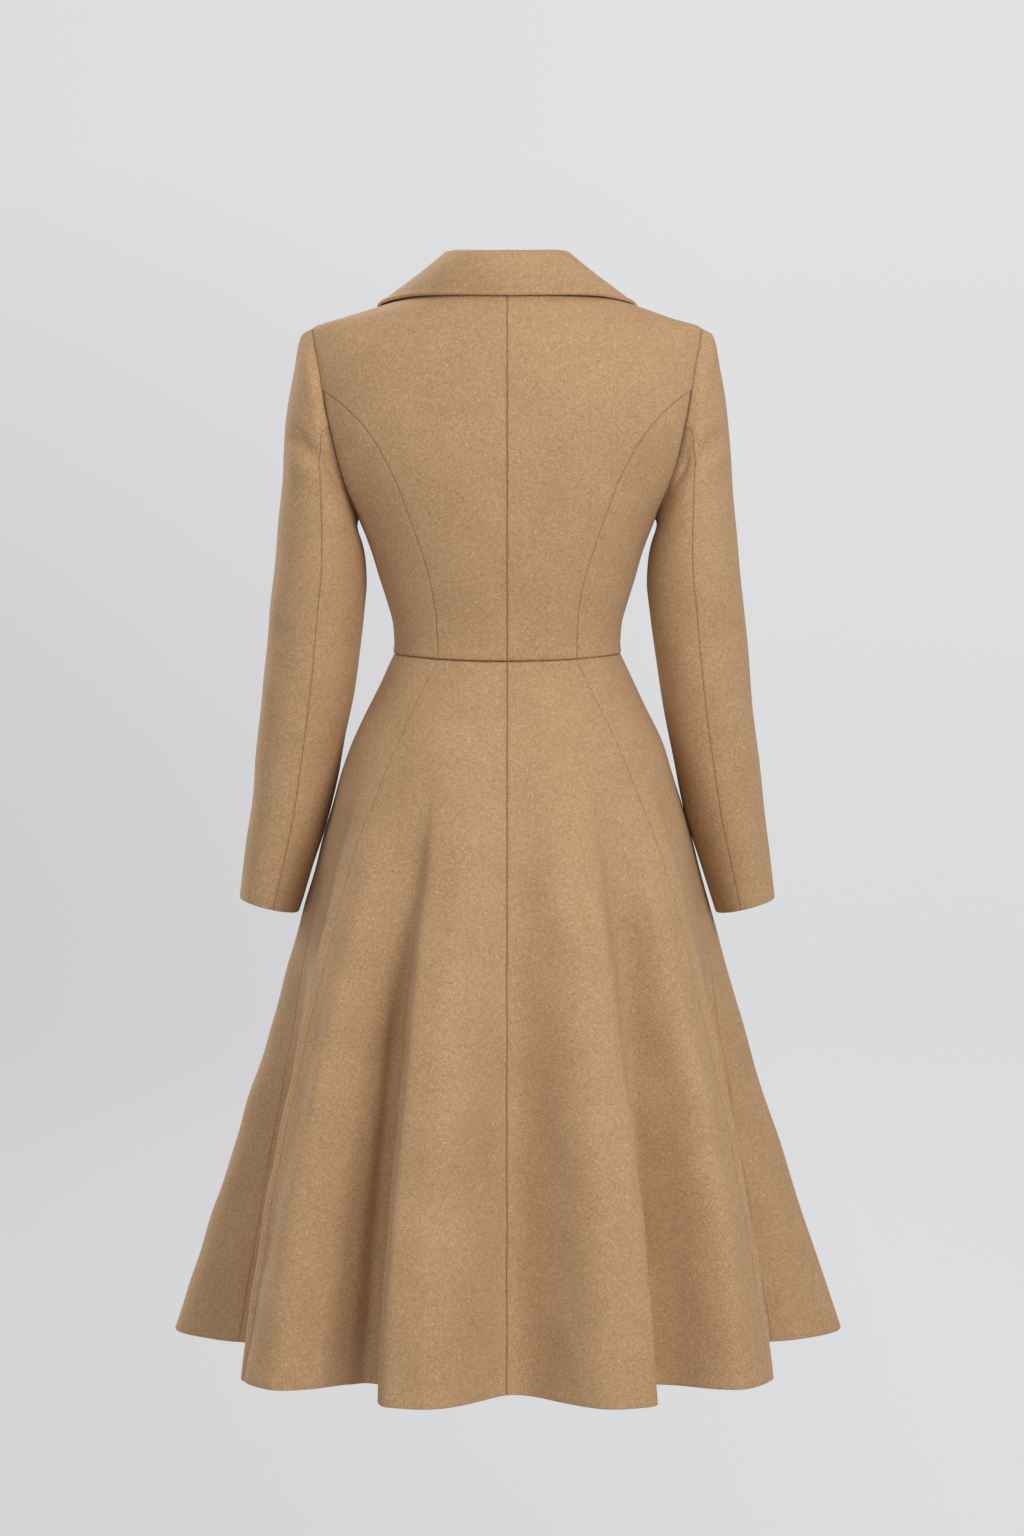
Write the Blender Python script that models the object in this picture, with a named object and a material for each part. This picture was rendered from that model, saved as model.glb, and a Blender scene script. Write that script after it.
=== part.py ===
"""Flared coat: a fitted bodice with princess seams, a gored skirt, two-piece sleeves and a turned collar.

Metres, +Z up. The front of the coat faces -Y and the wearer's left is +X. The origin lies midway between
the two points where the shoulder seams meet the neck. Angles round the body run from the centre back
(0 degrees) past the side seam (90) to the centre front (180), the same way on both sides.
"""

import math
from typing import NamedTuple

import bmesh
import bpy
import numpy as np
from mathutils import Vector

# Driving dimensions
CLOTH = 0.003
COLLAR_CLOTH = 0.0035
SEAM_GAP = 0.0003
WAIST = -0.379
WAIST_DIP = 0.005
HEM = -1.103
SHOULDER_TIP = -0.0445
ARMPIT = -0.241
NECK_HALF_WIDTH = 0.068
BACK_NECK_DROP = 0.005
FRONT_NECK_DROP = 0.072
ROUNDNESS = 2.2
SHOULDER_SOFTNESS = 0.022
SIDE_SEAM_HOLD = 6

# Front lap: the wearer's right front lies over the left one
LAP = 0.022
LAP_UNDER = 0.040
LAP_EASE = 0.020
LAP_CLEARANCE = 0.0011

# Armhole, an oval in angle and height, and where the princess seams run into it
ARMHOLE_BACK_CUT = 24.0
ARMHOLE_FRONT_CUT = 29.0
BACK_SEAM_STATION = 70.0
FRONT_SEAM_STATION = 80.0
SLEEVE_GAP = 0.0004
ARMHOLE_TURN_START = 20.0
ARMHOLE_TURN_SPAN = 50.0

# Mesh divisions
SEAM_ROWS = 11
SEAM_CROWDING = 1.5
ARMHOLE_ROWS = 4
UNDERARM_COLUMNS = 5
SHOULDER_ROWS = 4
CENTRE_COLUMNS = 7
SKIRT_COLUMNS = 18
SKIRT_ROWS = 12
COLLAR_SPLITS = 2
SHARP_ANGLE = math.radians(40)
MERGE_DISTANCE = 1e-5

# Collar
COLLAR_FRONT_STEPS = 5
COLLAR_FOLD_WIDTH = 0.011
COLLAR_ROLL = 0.004
COLLAR_REST = 0.0006
COLLAR_FALL_SHARES = (0.25, 0.5, 0.75, 1.0)

# Buttons
BUTTON_RADIUS = 0.014
BUTTON_RIM = 0.0025
BUTTON_THICK = 0.0045
BUTTON_DISH = 0.0012
BUTTON_SIDES = 16
BUTTON_LIFT = 0.0006
BODICE_BUTTONS = (-0.110, -0.190, -0.270, -0.350)
SKIRT_BUTTON_SHARE = 0.098

CAMEL = (0.43, 0.262, 0.140, 1.0)
CAMEL_ROUGHNESS = 0.9
HORN = (0.075, 0.040, 0.022, 1.0)
HORN_ROUGHNESS = 0.35
LEFT, RIGHT = 1, -1
SIDE_NAMES = {LEFT: "left", RIGHT: "right"}


class TorsoSection(NamedTuple):
    """A level slice of the bodice: how far it reaches sideways, back and forward, and how square it is."""

    height: float
    half_width: float
    back: float
    front: float
    roundness: float


class SkirtSection(NamedTuple):
    """A level slice of the skirt between its folds, at a share of the way from waist to hem."""

    share: float
    half_width: float
    back: float
    front: float


class Fold(NamedTuple):
    """One flute or hollow of the skirt: the angle of its crest (positive on the wearer's left), its height at
    the hem, its flanks away from the centre back and towards it, and how much sooner it opens."""

    crest: float
    height: float
    outer_width: float
    outer_flatness: float
    inner_width: float
    inner_flatness: float
    early: float


class SleeveSection(NamedTuple):
    """A slanting slice of a sleeve: its outer and inner ends, half depth and middle, front to back."""

    outer_x: float
    outer_z: float
    inner_x: float
    inner_z: float
    half_depth: float
    middle_y: float


class SeamPoint(NamedTuple):
    """A point of a princess seam: its height and its distance from the centre line."""

    height: float
    across: float


class CollarSection(NamedTuple):
    """The collar at a station round the neck: its stand's height and inward lean, the swell of its fall,
    and where its edge lies on the bodice."""

    station: float
    stand: float
    lean: float
    swell: float
    edge_angle: float
    edge_height: float


TORSO = (
    TorsoSection(-0.3890, 0.1168, 0.0930, 0.0965, 2.2),
    TorsoSection(-0.3790, 0.1168, 0.0930, 0.0970, 2.2),
    TorsoSection(-0.3515, 0.1184, 0.0950, 0.1030, 2.2),
    TorsoSection(-0.3260, 0.1246, 0.1000, 0.1130, 2.2),
    TorsoSection(-0.3000, 0.1325, 0.1060, 0.1240, 2.2),
    TorsoSection(-0.2745, 0.1398, 0.1105, 0.1320, 2.2),
    TorsoSection(-0.2410, 0.1530, 0.1145, 0.1370, 2.2),
    TorsoSection(-0.2035, 0.1760, 0.1175, 0.1320, 2.2),
    TorsoSection(-0.1675, 0.1920, 0.1185, 0.1200, 2.2),
    TorsoSection(-0.1180, 0.2030, 0.1160, 0.0950, 2.1),
    TorsoSection(-0.0710, 0.2050, 0.1070, 0.0700, 1.85),
    TorsoSection(-0.0445, 0.2005, 0.0980, 0.0560, 1.6),
    TorsoSection(-0.0330, 0.1660, 0.0925, 0.0500, 1.6),
    TorsoSection(-0.0210, 0.1280, 0.0860, 0.0430, 1.65),
    TorsoSection(-0.0100, 0.0950, 0.0780, 0.0360, 1.8),
    TorsoSection(0.0000, 0.0680, 0.0700, 0.0300, 2.0),
)

SKIRT = (
    SkirtSection(0.000, 0.1168, 0.0930, 0.0970),
    SkirtSection(0.066, 0.1395, 0.1180, 0.1150),
    SkirtSection(0.138, 0.1640, 0.1430, 0.1350),
    SkirtSection(0.211, 0.1780, 0.1600, 0.1500),
    SkirtSection(0.290, 0.1890, 0.1750, 0.1650),
    SkirtSection(0.586, 0.2154, 0.2100, 0.2080),
    SkirtSection(0.811, 0.2350, 0.2320, 0.2360),
    SkirtSection(1.000, 0.2500, 0.2480, 0.2560),
)

FOLDS = (
    Fold(0.0, -0.014, 7.0, 2.0, 7.0, 2.0, 1.2),
    Fold(17.0, 0.064, 10.0, 6.0, 12.0, 2.2, 1.5),
    Fold(32.5, -0.022, 5.0, 2.0, 4.6, 2.0, 1.5),
    Fold(51.5, 0.066, 9.6, 5.0, 10.3, 4.0, 1.2),
    Fold(104.0, 0.111, 13.2, 2.8, 13.2, 2.8, 0.0),
    Fold(141.0, 0.070, 12.5, 3.0, 12.5, 3.0, 0.4),
    Fold(-21.0, 0.069, 9.8, 5.0, 10.4, 2.4, 1.3),
    Fold(-36.5, -0.016, 5.0, 2.0, 4.6, 2.0, 1.3),
    Fold(-52.0, 0.066, 9.4, 5.0, 9.8, 4.0, 1.2),
    Fold(-104.5, 0.113, 13.2, 2.8, 13.2, 2.8, 0.0),
    Fold(-139.0, 0.072, 12.5, 3.0, 12.5, 3.0, 0.4),
)
FOLD_START = 0.15
FOLD_GROWTH = 1.3

SLEEVE = (
    SleeveSection(0.2000, -0.0445, 0.1530, -0.2410, 0.052, -0.002),
    SleeveSection(0.2115, -0.0521, 0.1550, -0.2475, 0.055, -0.002),
    SleeveSection(0.2185, -0.0830, 0.1535, -0.2550, 0.058, -0.002),
    SleeveSection(0.2260, -0.1220, 0.1510, -0.2620, 0.060, -0.001),
    SleeveSection(0.2308, -0.1741, 0.1485, -0.2710, 0.061, 0.000),
    SleeveSection(0.2343, -0.2262, 0.1462, -0.2850, 0.062, 0.001),
    SleeveSection(0.2386, -0.2784, 0.1450, -0.3060, 0.062, 0.001),
    SleeveSection(0.2450, -0.3305, 0.1482, -0.3380, 0.060, 0.000),
    SleeveSection(0.2500, -0.3827, 0.1540, -0.3850, 0.058, -0.002),
    SleeveSection(0.2555, -0.4348, 0.1618, -0.4360, 0.056, -0.006),
    SleeveSection(0.2615, -0.4869, 0.1725, -0.4890, 0.054, -0.011),
    SleeveSection(0.2675, -0.5391, 0.1845, -0.5425, 0.052, -0.017),
    SleeveSection(0.2745, -0.5912, 0.2020, -0.6000, 0.050, -0.024),
    SleeveSection(0.2805, -0.6365, 0.2190, -0.6520, 0.048, -0.030),
)
LOOP_FADE = 6
SLEEVE_BACK_SEAM = 92.0
SLEEVE_FRONT_SEAM = -100.0
SLEEVE_SEAM_SWING = 12.0
SLEEVE_SWING_REACH = 60.0
SLEEVE_SWING_GROWTH = 3

BACK_PRINCESS = (
    SeamPoint(-0.379, 0.0702),
    SeamPoint(-0.346, 0.0716),
    SeamPoint(-0.308, 0.0776),
    SeamPoint(-0.269, 0.0885),
    SeamPoint(-0.223, 0.1047),
    SeamPoint(-0.185, 0.1220),
    SeamPoint(-0.152, 0.1420),
    SeamPoint(-0.124, 0.1690),
)
FRONT_PRINCESS = (
    SeamPoint(-0.379, 0.0600),
    SeamPoint(-0.325, 0.0720),
    SeamPoint(-0.266, 0.0890),
    SeamPoint(-0.217, 0.1050),
    SeamPoint(-0.177, 0.1230),
    SeamPoint(-0.148, 0.1430),
)
SKIRT_SEAM_SPREAD = 14.0
SKIRT_SEAM_REACH = 0.22

COLLAR = (
    CollarSection(0.0, 0.0375, 0.0040, 0.003, 0.0, -0.0180),
    CollarSection(45.0, 0.0365, 0.0060, 0.002, 50.0, -0.0168),
    CollarSection(90.0, 0.0325, 0.0095, 0.000, 90.0, -0.0210),
    CollarSection(110.0, 0.0310, 0.0080, 0.008, 141.0, -0.0420),
    CollarSection(130.0, 0.0290, 0.0060, 0.006, 147.0, -0.0720),
    CollarSection(174.0, 0.0210, 0.0040, 0.002, 159.0, -0.1280),
)


def smooth_curve(knots, values):
    """A smooth function through a table's points that never overshoots them."""
    knots, values = np.asarray(knots, float), np.asarray(values, float)
    steps = np.diff(knots)
    rises = np.diff(values) / steps
    slopes = np.concatenate([rises[:1], np.zeros(len(knots) - 2), rises[-1:]])
    for i in range(1, len(knots) - 1):
        if rises[i - 1] * rises[i] > 0:
            slopes[i] = 2 * rises[i - 1] * rises[i] / (rises[i - 1] + rises[i])

    def curve(at):
        at = np.clip(at, knots[0], knots[-1])
        i = np.clip(np.searchsorted(knots, at) - 1, 0, len(steps) - 1)
        f = (at - knots[i]) / steps[i]
        start = values[i] * (1 + 2 * f) + slopes[i] * steps[i] * f
        end = values[i + 1] * (3 - 2 * f) - slopes[i + 1] * steps[i] * (1 - f)
        return start * (1 - f) ** 2 + end * f**2

    return curve


def columns_of(table):
    """One smooth curve for each column of a table, over its first column."""
    columns = list(zip(*table))
    return [smooth_curve(columns[0], column) for column in columns[1:]]


TORSO_WIDTH, TORSO_BACK, TORSO_FRONT, TORSO_ROUNDNESS = columns_of(TORSO)
SKIRT_WIDTH, SKIRT_BACK, SKIRT_FRONT = columns_of(SKIRT)
COLLAR_STAND, COLLAR_LEAN, COLLAR_SWELL, COLLAR_EDGE_ANGLE, COLLAR_EDGE_HEIGHT = columns_of(COLLAR)


def signed_power(value, power):
    return np.sign(value) * np.abs(value) ** power


def smooth_step(value):
    value = np.clip(value, 0.0, 1.0)
    return value * value * (3 - 2 * value)


def unit(vectors):
    return vectors / np.linalg.norm(vectors, axis=-1, keepdims=True)


def waist_height(angle):
    """The waist seam is level, and dips a little towards the centre back."""
    return WAIST - WAIST_DIP * np.maximum(np.cos(angle), 0) ** 2


def torso_slice(angle, height):
    """A level slice of the bodice, as distances across and towards the back."""
    depth = np.where(np.cos(angle) >= 0, TORSO_BACK(height), TORSO_FRONT(height))
    power = 2 / TORSO_ROUNDNESS(height)
    across = TORSO_WIDTH(height) * signed_power(np.sin(angle), power)
    return across, depth * signed_power(np.cos(angle), power)


def torso(angle, height, side):
    """A point of the bodice's outside, softened up and down except along the shoulder and side seams."""
    soft = SHOULDER_SOFTNESS * (1 - np.sin(angle) ** SIDE_SEAM_HOLD) * np.clip(height / SHOULDER_TIP, 0, 1)
    x, y = torso_slice(angle, height)
    for level in (height - soft, height + soft):
        x_near, y_near = torso_slice(angle, level)
        x, y = x + x_near / 2, y + y_near / 2
    return np.stack([side * x / 2, y / 2, height + 0 * x], axis=-1)


def angle_at(height, across, front):
    """The angle at which the bodice lies that far from its centre line, on its back or its front."""
    share = np.clip(np.abs(across) / TORSO_WIDTH(height), 0, 1)
    angle = np.sign(across) * np.arcsin(share ** (TORSO_ROUNDNESS(height) / 2))
    return math.pi - angle if front else angle


def ring_angle(angle):
    """The bodice's own angle at the waist, for a true angle round the skirt."""
    across = np.sin(angle) / SKIRT_WIDTH(0.0)
    depth = np.where(np.cos(angle) >= 0, SKIRT_BACK(0.0), SKIRT_FRONT(0.0))
    along = np.cos(angle) / depth
    return np.arctan2(signed_power(across, ROUNDNESS / 2), signed_power(along, ROUNDNESS / 2))


def skirt(angle, share, side):
    """A point of the skirt's outside, its folds growing from the hip to the hem."""
    depth = np.where(np.cos(angle) >= 0, SKIRT_BACK(share), SKIRT_FRONT(share))
    across = np.abs(np.sin(angle)) / SKIRT_WIDTH(share)
    along = np.abs(np.cos(angle)) / depth
    radius = (across**ROUNDNESS + along**ROUNDNESS) ** (-1 / ROUNDNESS)
    below = np.clip((share - FOLD_START) / (1 - FOLD_START), 0, 1)
    turn = side * np.degrees(angle)
    for fold in FOLDS:
        away = (turn - fold.crest + 180) % 360 - 180
        outer = away * fold.crest >= 0
        width = np.where(outer, fold.outer_width, fold.inner_width)
        flatness = np.where(outer, fold.outer_flatness, fold.inner_flatness)
        growth = below**FOLD_GROWTH * (1 + fold.early * (1 - below))
        radius = radius + fold.height * growth * np.exp(-((np.abs(away) / width) ** flatness))
    top = waist_height(ring_angle(angle))
    height = top + share * (HEM - top)
    return np.stack([side * radius * np.sin(angle), radius * np.cos(angle), height], axis=-1)


def facing_out(surface, first, second, side):
    """The outward normals of the bodice or skirt, whose height falls or rises with the second parameter."""
    small_first, small_second = 0.002, 0.0005
    along = surface(first + small_first, second, side) - surface(first - small_first, second, side)
    down = surface(first, second + small_second, side) - surface(first, second - small_second, side)
    normals = unit(np.cross(along, down))
    return normals * np.where(down[..., 2:] > 0, -side, side)


def patch(bottom, top, left, right):
    """A grid of (angle, height) pairs spread between its four edges, each an array of pairs."""
    u = np.linspace(0, 1, len(bottom))[None, :, None]
    v = np.linspace(0, 1, len(left))[:, None, None]
    across = (1 - u) * left[:, None] + u * right[:, None]
    up = (1 - v) * bottom[None] + v * top[None]
    corners = (1 - u) * ((1 - v) * bottom[0] + v * top[0]) + u * ((1 - v) * bottom[-1] + v * top[-1])
    return across + up - corners


def inset(points):
    """The grid with its border drawn in by half a seam gap."""
    drawn = points.copy()
    for edge, inner in ((np.s_[0], np.s_[1]), (np.s_[-1], np.s_[-2])):
        drawn[edge] += unit(points[inner] - points[edge]) * SEAM_GAP / 2
        drawn[:, edge] += unit(points[:, inner] - points[:, edge]) * SEAM_GAP / 2
    return drawn


def cloth_material(name, colour, roughness):
    material = bpy.data.materials.new(name)
    material.use_nodes = True
    shader = material.node_tree.nodes["Principled BSDF"]
    shader.inputs["Base Color"].default_value = colour
    shader.inputs["Roughness"].default_value = roughness
    shader.inputs["Metallic"].default_value = 0.0
    return material


def add_wall(name, outer, inner, material):
    """A closed cloth wall between an outer and an inner grid of points."""
    rows, columns = outer.shape[:2]
    mesh = bpy.data.meshes.new(name)
    shape = bmesh.new()
    grids = []
    for points in (outer, inner):
        grids.append([[shape.verts.new(point) for point in row] for row in points])
    front, back = grids
    for i in range(rows - 1):
        for j in range(columns - 1):
            shape.faces.new((front[i][j], front[i][j + 1], front[i + 1][j + 1], front[i + 1][j]))
            shape.faces.new((back[i][j], back[i + 1][j], back[i + 1][j + 1], back[i][j + 1]))
    border = [(0, j) for j in range(columns)]
    border += [(i, columns - 1) for i in range(1, rows)]
    border += [(rows - 1, j) for j in range(columns - 2, -1, -1)]
    border += [(i, 0) for i in range(rows - 2, 0, -1)]
    for ends in zip(border, border[1:] + border[:1]):
        (i, j), (k, m) = sorted(ends, key=lambda at: outer[at][2])
        shape.faces.new((front[k][m], front[i][j], back[i][j]))
        shape.faces.new((front[k][m], back[i][j], back[k][m]))
    bmesh.ops.recalc_face_normals(shape, faces=shape.faces)
    shape.to_mesh(mesh)
    shape.free()
    mesh.shade_smooth()
    mesh.set_sharp_from_angle(angle=SHARP_ANGLE)
    made = bpy.data.objects.new(name, mesh)
    made.data.materials.append(material)
    bpy.context.scene.collection.objects.link(made)
    return made


def lap_dip(points, side):
    """How far the left front sinks to pass under the right one, near the centre front."""
    if side == RIGHT:
        return np.zeros(points.shape[:-1] + (1,))
    share = (LAP_UNDER + LAP_EASE - points[..., :1]) / LAP_EASE
    at_front = points[..., 1:2] < 0
    return np.where(at_front, (CLOTH + LAP_CLEARANCE) * smooth_step(share), 0.0)


def add_panel(name, surface, grid, side, material):
    """A panel of the bodice or the skirt over a grid of its surface's two parameters."""
    first, second = grid[..., 0], grid[..., 1]
    points = surface(first, second, side)
    normals = facing_out(surface, first, second, side)
    outer = inset(points - normals * lap_dip(points, side))
    return add_wall(name, outer, outer - normals * CLOTH, material)


def armhole(station, side):
    """A point of the armhole's edge, 0 at the shoulder tip, 90 at the back, 180 at the armpit."""
    turn = np.radians(station)
    cut = np.where(np.sin(turn) >= 0, ARMHOLE_BACK_CUT, ARMHOLE_FRONT_CUT)
    angle = np.radians(90 - cut * np.sin(turn))
    height = (SHOULDER_TIP + ARMPIT) / 2 + (SHOULDER_TIP - ARMPIT) / 2 * np.cos(turn)
    return angle, height, torso(angle, height, side)


def pairs(angle, height):
    angle, height = np.broadcast_arrays(np.asarray(angle, float), np.asarray(height, float))
    return np.stack([angle, height], axis=-1)


def neckline(station):
    """Angle and height of the neck seam at a station, 0 at the nape and 180 at the throat."""
    turn = math.radians(station)
    front = math.cos(turn) < 0
    drop = FRONT_NECK_DROP * abs(math.cos(turn)) if front else BACK_NECK_DROP * math.cos(turn) ** 2
    across = NECK_HALF_WIDTH * math.sin(turn)
    if station == 90:
        return math.pi / 2, 0.0
    return float(angle_at(-drop, across, front)), -drop


def neck_stations(front):
    """Stations of a centre panel's neck edge, from the centre line to the shoulder seam."""
    first = 180 + math.degrees(math.asin(LAP / NECK_HALF_WIDTH)) if front else 0
    return np.linspace(first, 90, CENTRE_COLUMNS + 1)


def princess_seam(table, station, front):
    """The seam's angle at each of its rows, from the waist up to the armhole."""
    angle_up, height_up, _ = armhole(-station if front else station, LEFT)
    up_across = float(torso(angle_up, height_up, LEFT)[..., 0])
    rows = [*table, SeamPoint(float(height_up), up_across)]
    across = smooth_curve([r.height for r in rows], [r.across for r in rows])
    first_angle = angle_at(WAIST, table[0].across, front)
    low = waist_height(first_angle)
    rise = 1 - (1 - np.linspace(0, 1, SEAM_ROWS + 1)) ** SEAM_CROWDING
    heights = low + rise * (height_up - low)
    line = pairs(angle_at(heights, across(heights), front), heights)
    line[-1, 0] = angle_up
    return line


def waist_edge(first, last, columns):
    angles = np.linspace(first, last, columns + 1)
    return pairs(angles, waist_height(angles))


def outer_edge(seam, station, front):
    """A centre panel's edge: its princess seam, the armhole above it, then the shoulder seam."""
    stations = np.linspace(station, 0, ARMHOLE_ROWS + 1)[1:]
    angle, height, _ = armhole(-stations if front else stations, LEFT)
    shoulder = np.linspace(SHOULDER_TIP, 0, SHOULDER_ROWS + 1)[1:]
    return np.concatenate([seam, pairs(angle, height), pairs(math.pi / 2, shoulder)])


def centre_panel(seam, station, front):
    """The grid of a centre back or a centre front panel."""
    right = outer_edge(seam, station, front)
    top = np.array([neckline(s) for s in neck_stations(front)])
    share = (right[:, 1] - right[0, 1]) / (right[-1, 1] - right[0, 1])
    low = WAIST if front else WAIST - WAIST_DIP
    heights = low + share * (top[0, 1] - low)
    left = pairs(angle_at(heights, -LAP, True) if front else 0.0, heights)
    bottom = waist_edge(left[0, 0], right[0, 0], CENTRE_COLUMNS)
    return patch(bottom, top, left, right)


def side_panel(seam, station, front):
    """The grid of a side back or a side front panel, from its princess seam to the side seam."""
    stations = np.linspace(station, 180, UNDERARM_COLUMNS + 1)
    angle, height, _ = armhole(-stations if front else stations, LEFT)
    top = pairs(angle, height)
    right = pairs(math.pi / 2, np.linspace(WAIST, ARMPIT, SEAM_ROWS + 1))
    bottom = waist_edge(seam[0, 0], math.pi / 2, UNDERARM_COLUMNS)
    return patch(bottom, top, seam, right)


def bodice(material):
    """Four panels on each side: centre and side, back and front."""
    halves = ((False, BACK_PRINCESS, BACK_SEAM_STATION), (True, FRONT_PRINCESS, FRONT_SEAM_STATION))
    for front, table, station in halves:
        seam = princess_seam(table, station, front)
        where = "front" if front else "back"
        for side, name in SIDE_NAMES.items():
            for which, grid in (("centre", centre_panel), ("side", side_panel)):
                panel_name = f"bodice_{where}_{which}_{name}"
                add_panel(panel_name, torso, grid(seam, station, front), side, material)


def skirt_seam(table, front, shares):
    """A skirt seam's angle at each share of its length, swinging out from a princess seam."""
    across = table[0].across
    point = torso(angle_at(WAIST, across, front), WAIST, LEFT)
    start = math.atan2(point[0], point[1])
    swing = math.radians(SKIRT_SEAM_SPREAD) * (1 - np.exp(-shares / SKIRT_SEAM_REACH))
    return start - swing if front else start + swing


def front_edge(shares):
    """The angle of the skirt's front edge, past the centre front by the lap."""
    return math.pi + np.arcsin(LAP / SKIRT_FRONT(shares))


def skirt_panels(material):
    """Four gores on each side, hung from the waist seam."""
    shares = np.linspace(0, 1, SKIRT_ROWS + 1)
    edges = {
        "back_centre": (np.zeros_like(shares), skirt_seam(BACK_PRINCESS, False, shares)),
        "back_side": (skirt_seam(BACK_PRINCESS, False, shares), np.full_like(shares, math.pi / 2)),
        "front_side": (np.full_like(shares, math.pi / 2), skirt_seam(FRONT_PRINCESS, True, shares)),
        "front_centre": (skirt_seam(FRONT_PRINCESS, True, shares), front_edge(shares)),
    }
    across = np.linspace(0, 1, SKIRT_COLUMNS + 1)[None, :]
    for where, (first, last) in edges.items():
        angles = first[:, None] * (1 - across) + last[:, None] * across
        grid = pairs(angles, np.broadcast_to(shares[:, None], angles.shape))
        for side, name in SIDE_NAMES.items():
            add_panel(f"skirt_{where}_{name}", skirt, grid, side, material)


def sleeve_stations():
    """Stations of the armhole's points, from the front seam over the shoulder and round the armpit."""
    back = [*np.linspace(0, BACK_SEAM_STATION, ARMHOLE_ROWS + 1)]
    back += [*np.linspace(BACK_SEAM_STATION, 180, UNDERARM_COLUMNS + 1)[1:]]
    front = [*np.linspace(0, FRONT_SEAM_STATION, ARMHOLE_ROWS + 1)[1:]]
    front += [*np.linspace(FRONT_SEAM_STATION, 180, UNDERARM_COLUMNS + 1)[1:-1]]
    ring = np.array([*(-np.array(front[::-1])), *back])
    first = np.argmin(np.abs(ring - SLEEVE_FRONT_SEAM))
    return np.concatenate([ring[first:], ring[: first + 1] + 360])


def sleeve_ring(section, stations):
    """A sleeve section's points: an oval from its outer to its inner end."""
    turn = np.radians(stations)
    outer = np.array([section.outer_x, section.middle_y, section.outer_z])
    inner = np.array([section.inner_x, section.middle_y, section.inner_z])
    middle, reach = (outer + inner) / 2, (outer - inner) / 2
    depth = np.array([0.0, section.half_depth, 0.0])
    return middle + np.cos(turn)[:, None] * reach + np.sin(turn)[:, None] * depth


def sleeve_points():
    """The left sleeve's outside, ring by ring down from the armhole, and the column of its back seam."""
    stations = sleeve_stations()
    seam = int(np.argmin(np.abs(stations - SLEEVE_BACK_SEAM)))
    _, _, loop = armhole((stations + 180) % 360 - 180, LEFT)
    loop = loop + np.array([SLEEVE_GAP, 0, 0])
    miss = loop - sleeve_ring(SLEEVE[0], stations)
    rings = []
    for row, section in enumerate(SLEEVE):
        swing = SLEEVE_SEAM_SWING * (row / (len(SLEEVE) - 1)) ** SLEEVE_SWING_GROWTH
        near = np.exp(-(((stations - stations[seam]) / SLEEVE_SWING_REACH) ** 2))
        fade = (1 - smooth_step(row / LOOP_FADE)) if row else 1.0
        rings.append(sleeve_ring(section, stations + swing * near) + miss * fade)
    return np.array(rings), stations, seam


def grid_normals(points):
    """Normals of a grid of points, from its neighbours."""
    return unit(np.cross(np.gradient(points, axis=1), np.gradient(points, axis=0)))


def sleeves(material):
    """An upper and an under sleeve on each side, set into the armhole."""
    points, stations, seam = sleeve_points()
    ring = np.concatenate([points[:, -2:-1], points, points[:, 1:2]], axis=1)
    normals = grid_normals(ring)[:, 1:-1]
    outwards = points - points.mean(axis=1, keepdims=True)
    normals *= np.sign((normals * outwards).sum(axis=-1, keepdims=True))
    angle, height, _ = armhole((stations + 180) % 360 - 180, LEFT)
    bodice_normals = facing_out(torso, angle, height, LEFT)
    lean = np.degrees(np.arccos(np.cos(np.radians(stations))))
    concave = smooth_step((lean - ARMHOLE_TURN_START) / ARMHOLE_TURN_SPAN)[:, None]
    normals[0] = unit(bodice_normals * (1 - concave) + normals[0] * concave)
    for which, columns in (("upper", np.s_[: seam + 1]), ("under", np.s_[seam:])):
        half = points[:, columns]
        outer = half.copy()
        for edge, inner in ((0, 1), (-1, -2)):
            outer[:, edge] += unit(half[:, inner] - half[:, edge]) * SEAM_GAP / 2
        inner = outer - normals[:, columns] * CLOTH
        for side, name in SIDE_NAMES.items():
            mirror = np.array([side, 1, 1])
            add_wall(f"sleeve_{which}_{name}", outer * mirror, inner * mirror, material)


def collar_section(station, side):
    """The collar's cross-section at a station: up the stand, over the fold and down the fall."""
    angle, height = neckline(station)
    seat = torso(np.array(angle), np.array(height), side) + np.array([0, 0, SEAM_GAP])
    out = unit(seat * np.array([1, 1, 0]))
    up = np.array([0.0, 0.0, 1.0])
    stand, lean, swell = COLLAR_STAND(station), COLLAR_LEAN(station), COLLAR_SWELL(station)
    edge_angle = np.radians(COLLAR_EDGE_ANGLE(station))
    edge_height = COLLAR_EDGE_HEIGHT(station)
    edge = torso(edge_angle, edge_height, side)
    edge = edge + facing_out(torso, edge_angle, edge_height, side) * (COLLAR_REST + COLLAR_CLOTH)
    fold = seat + out * (COLLAR_FOLD_WIDTH - lean) + up * (stand - COLLAR_ROLL)
    points = [
        seat,
        seat - out * lean / 2 + up * stand / 2,
        seat - out * lean + up * (stand - COLLAR_ROLL),
        seat + out * (COLLAR_FOLD_WIDTH / 2 - lean) + up * stand,
        fold,
    ]
    for share in COLLAR_FALL_SHARES:
        bulge = (out + up) * swell * math.sin(math.pi * share)
        points.append(fold * (1 - share) + edge * share + bulge)
    return points


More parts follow.
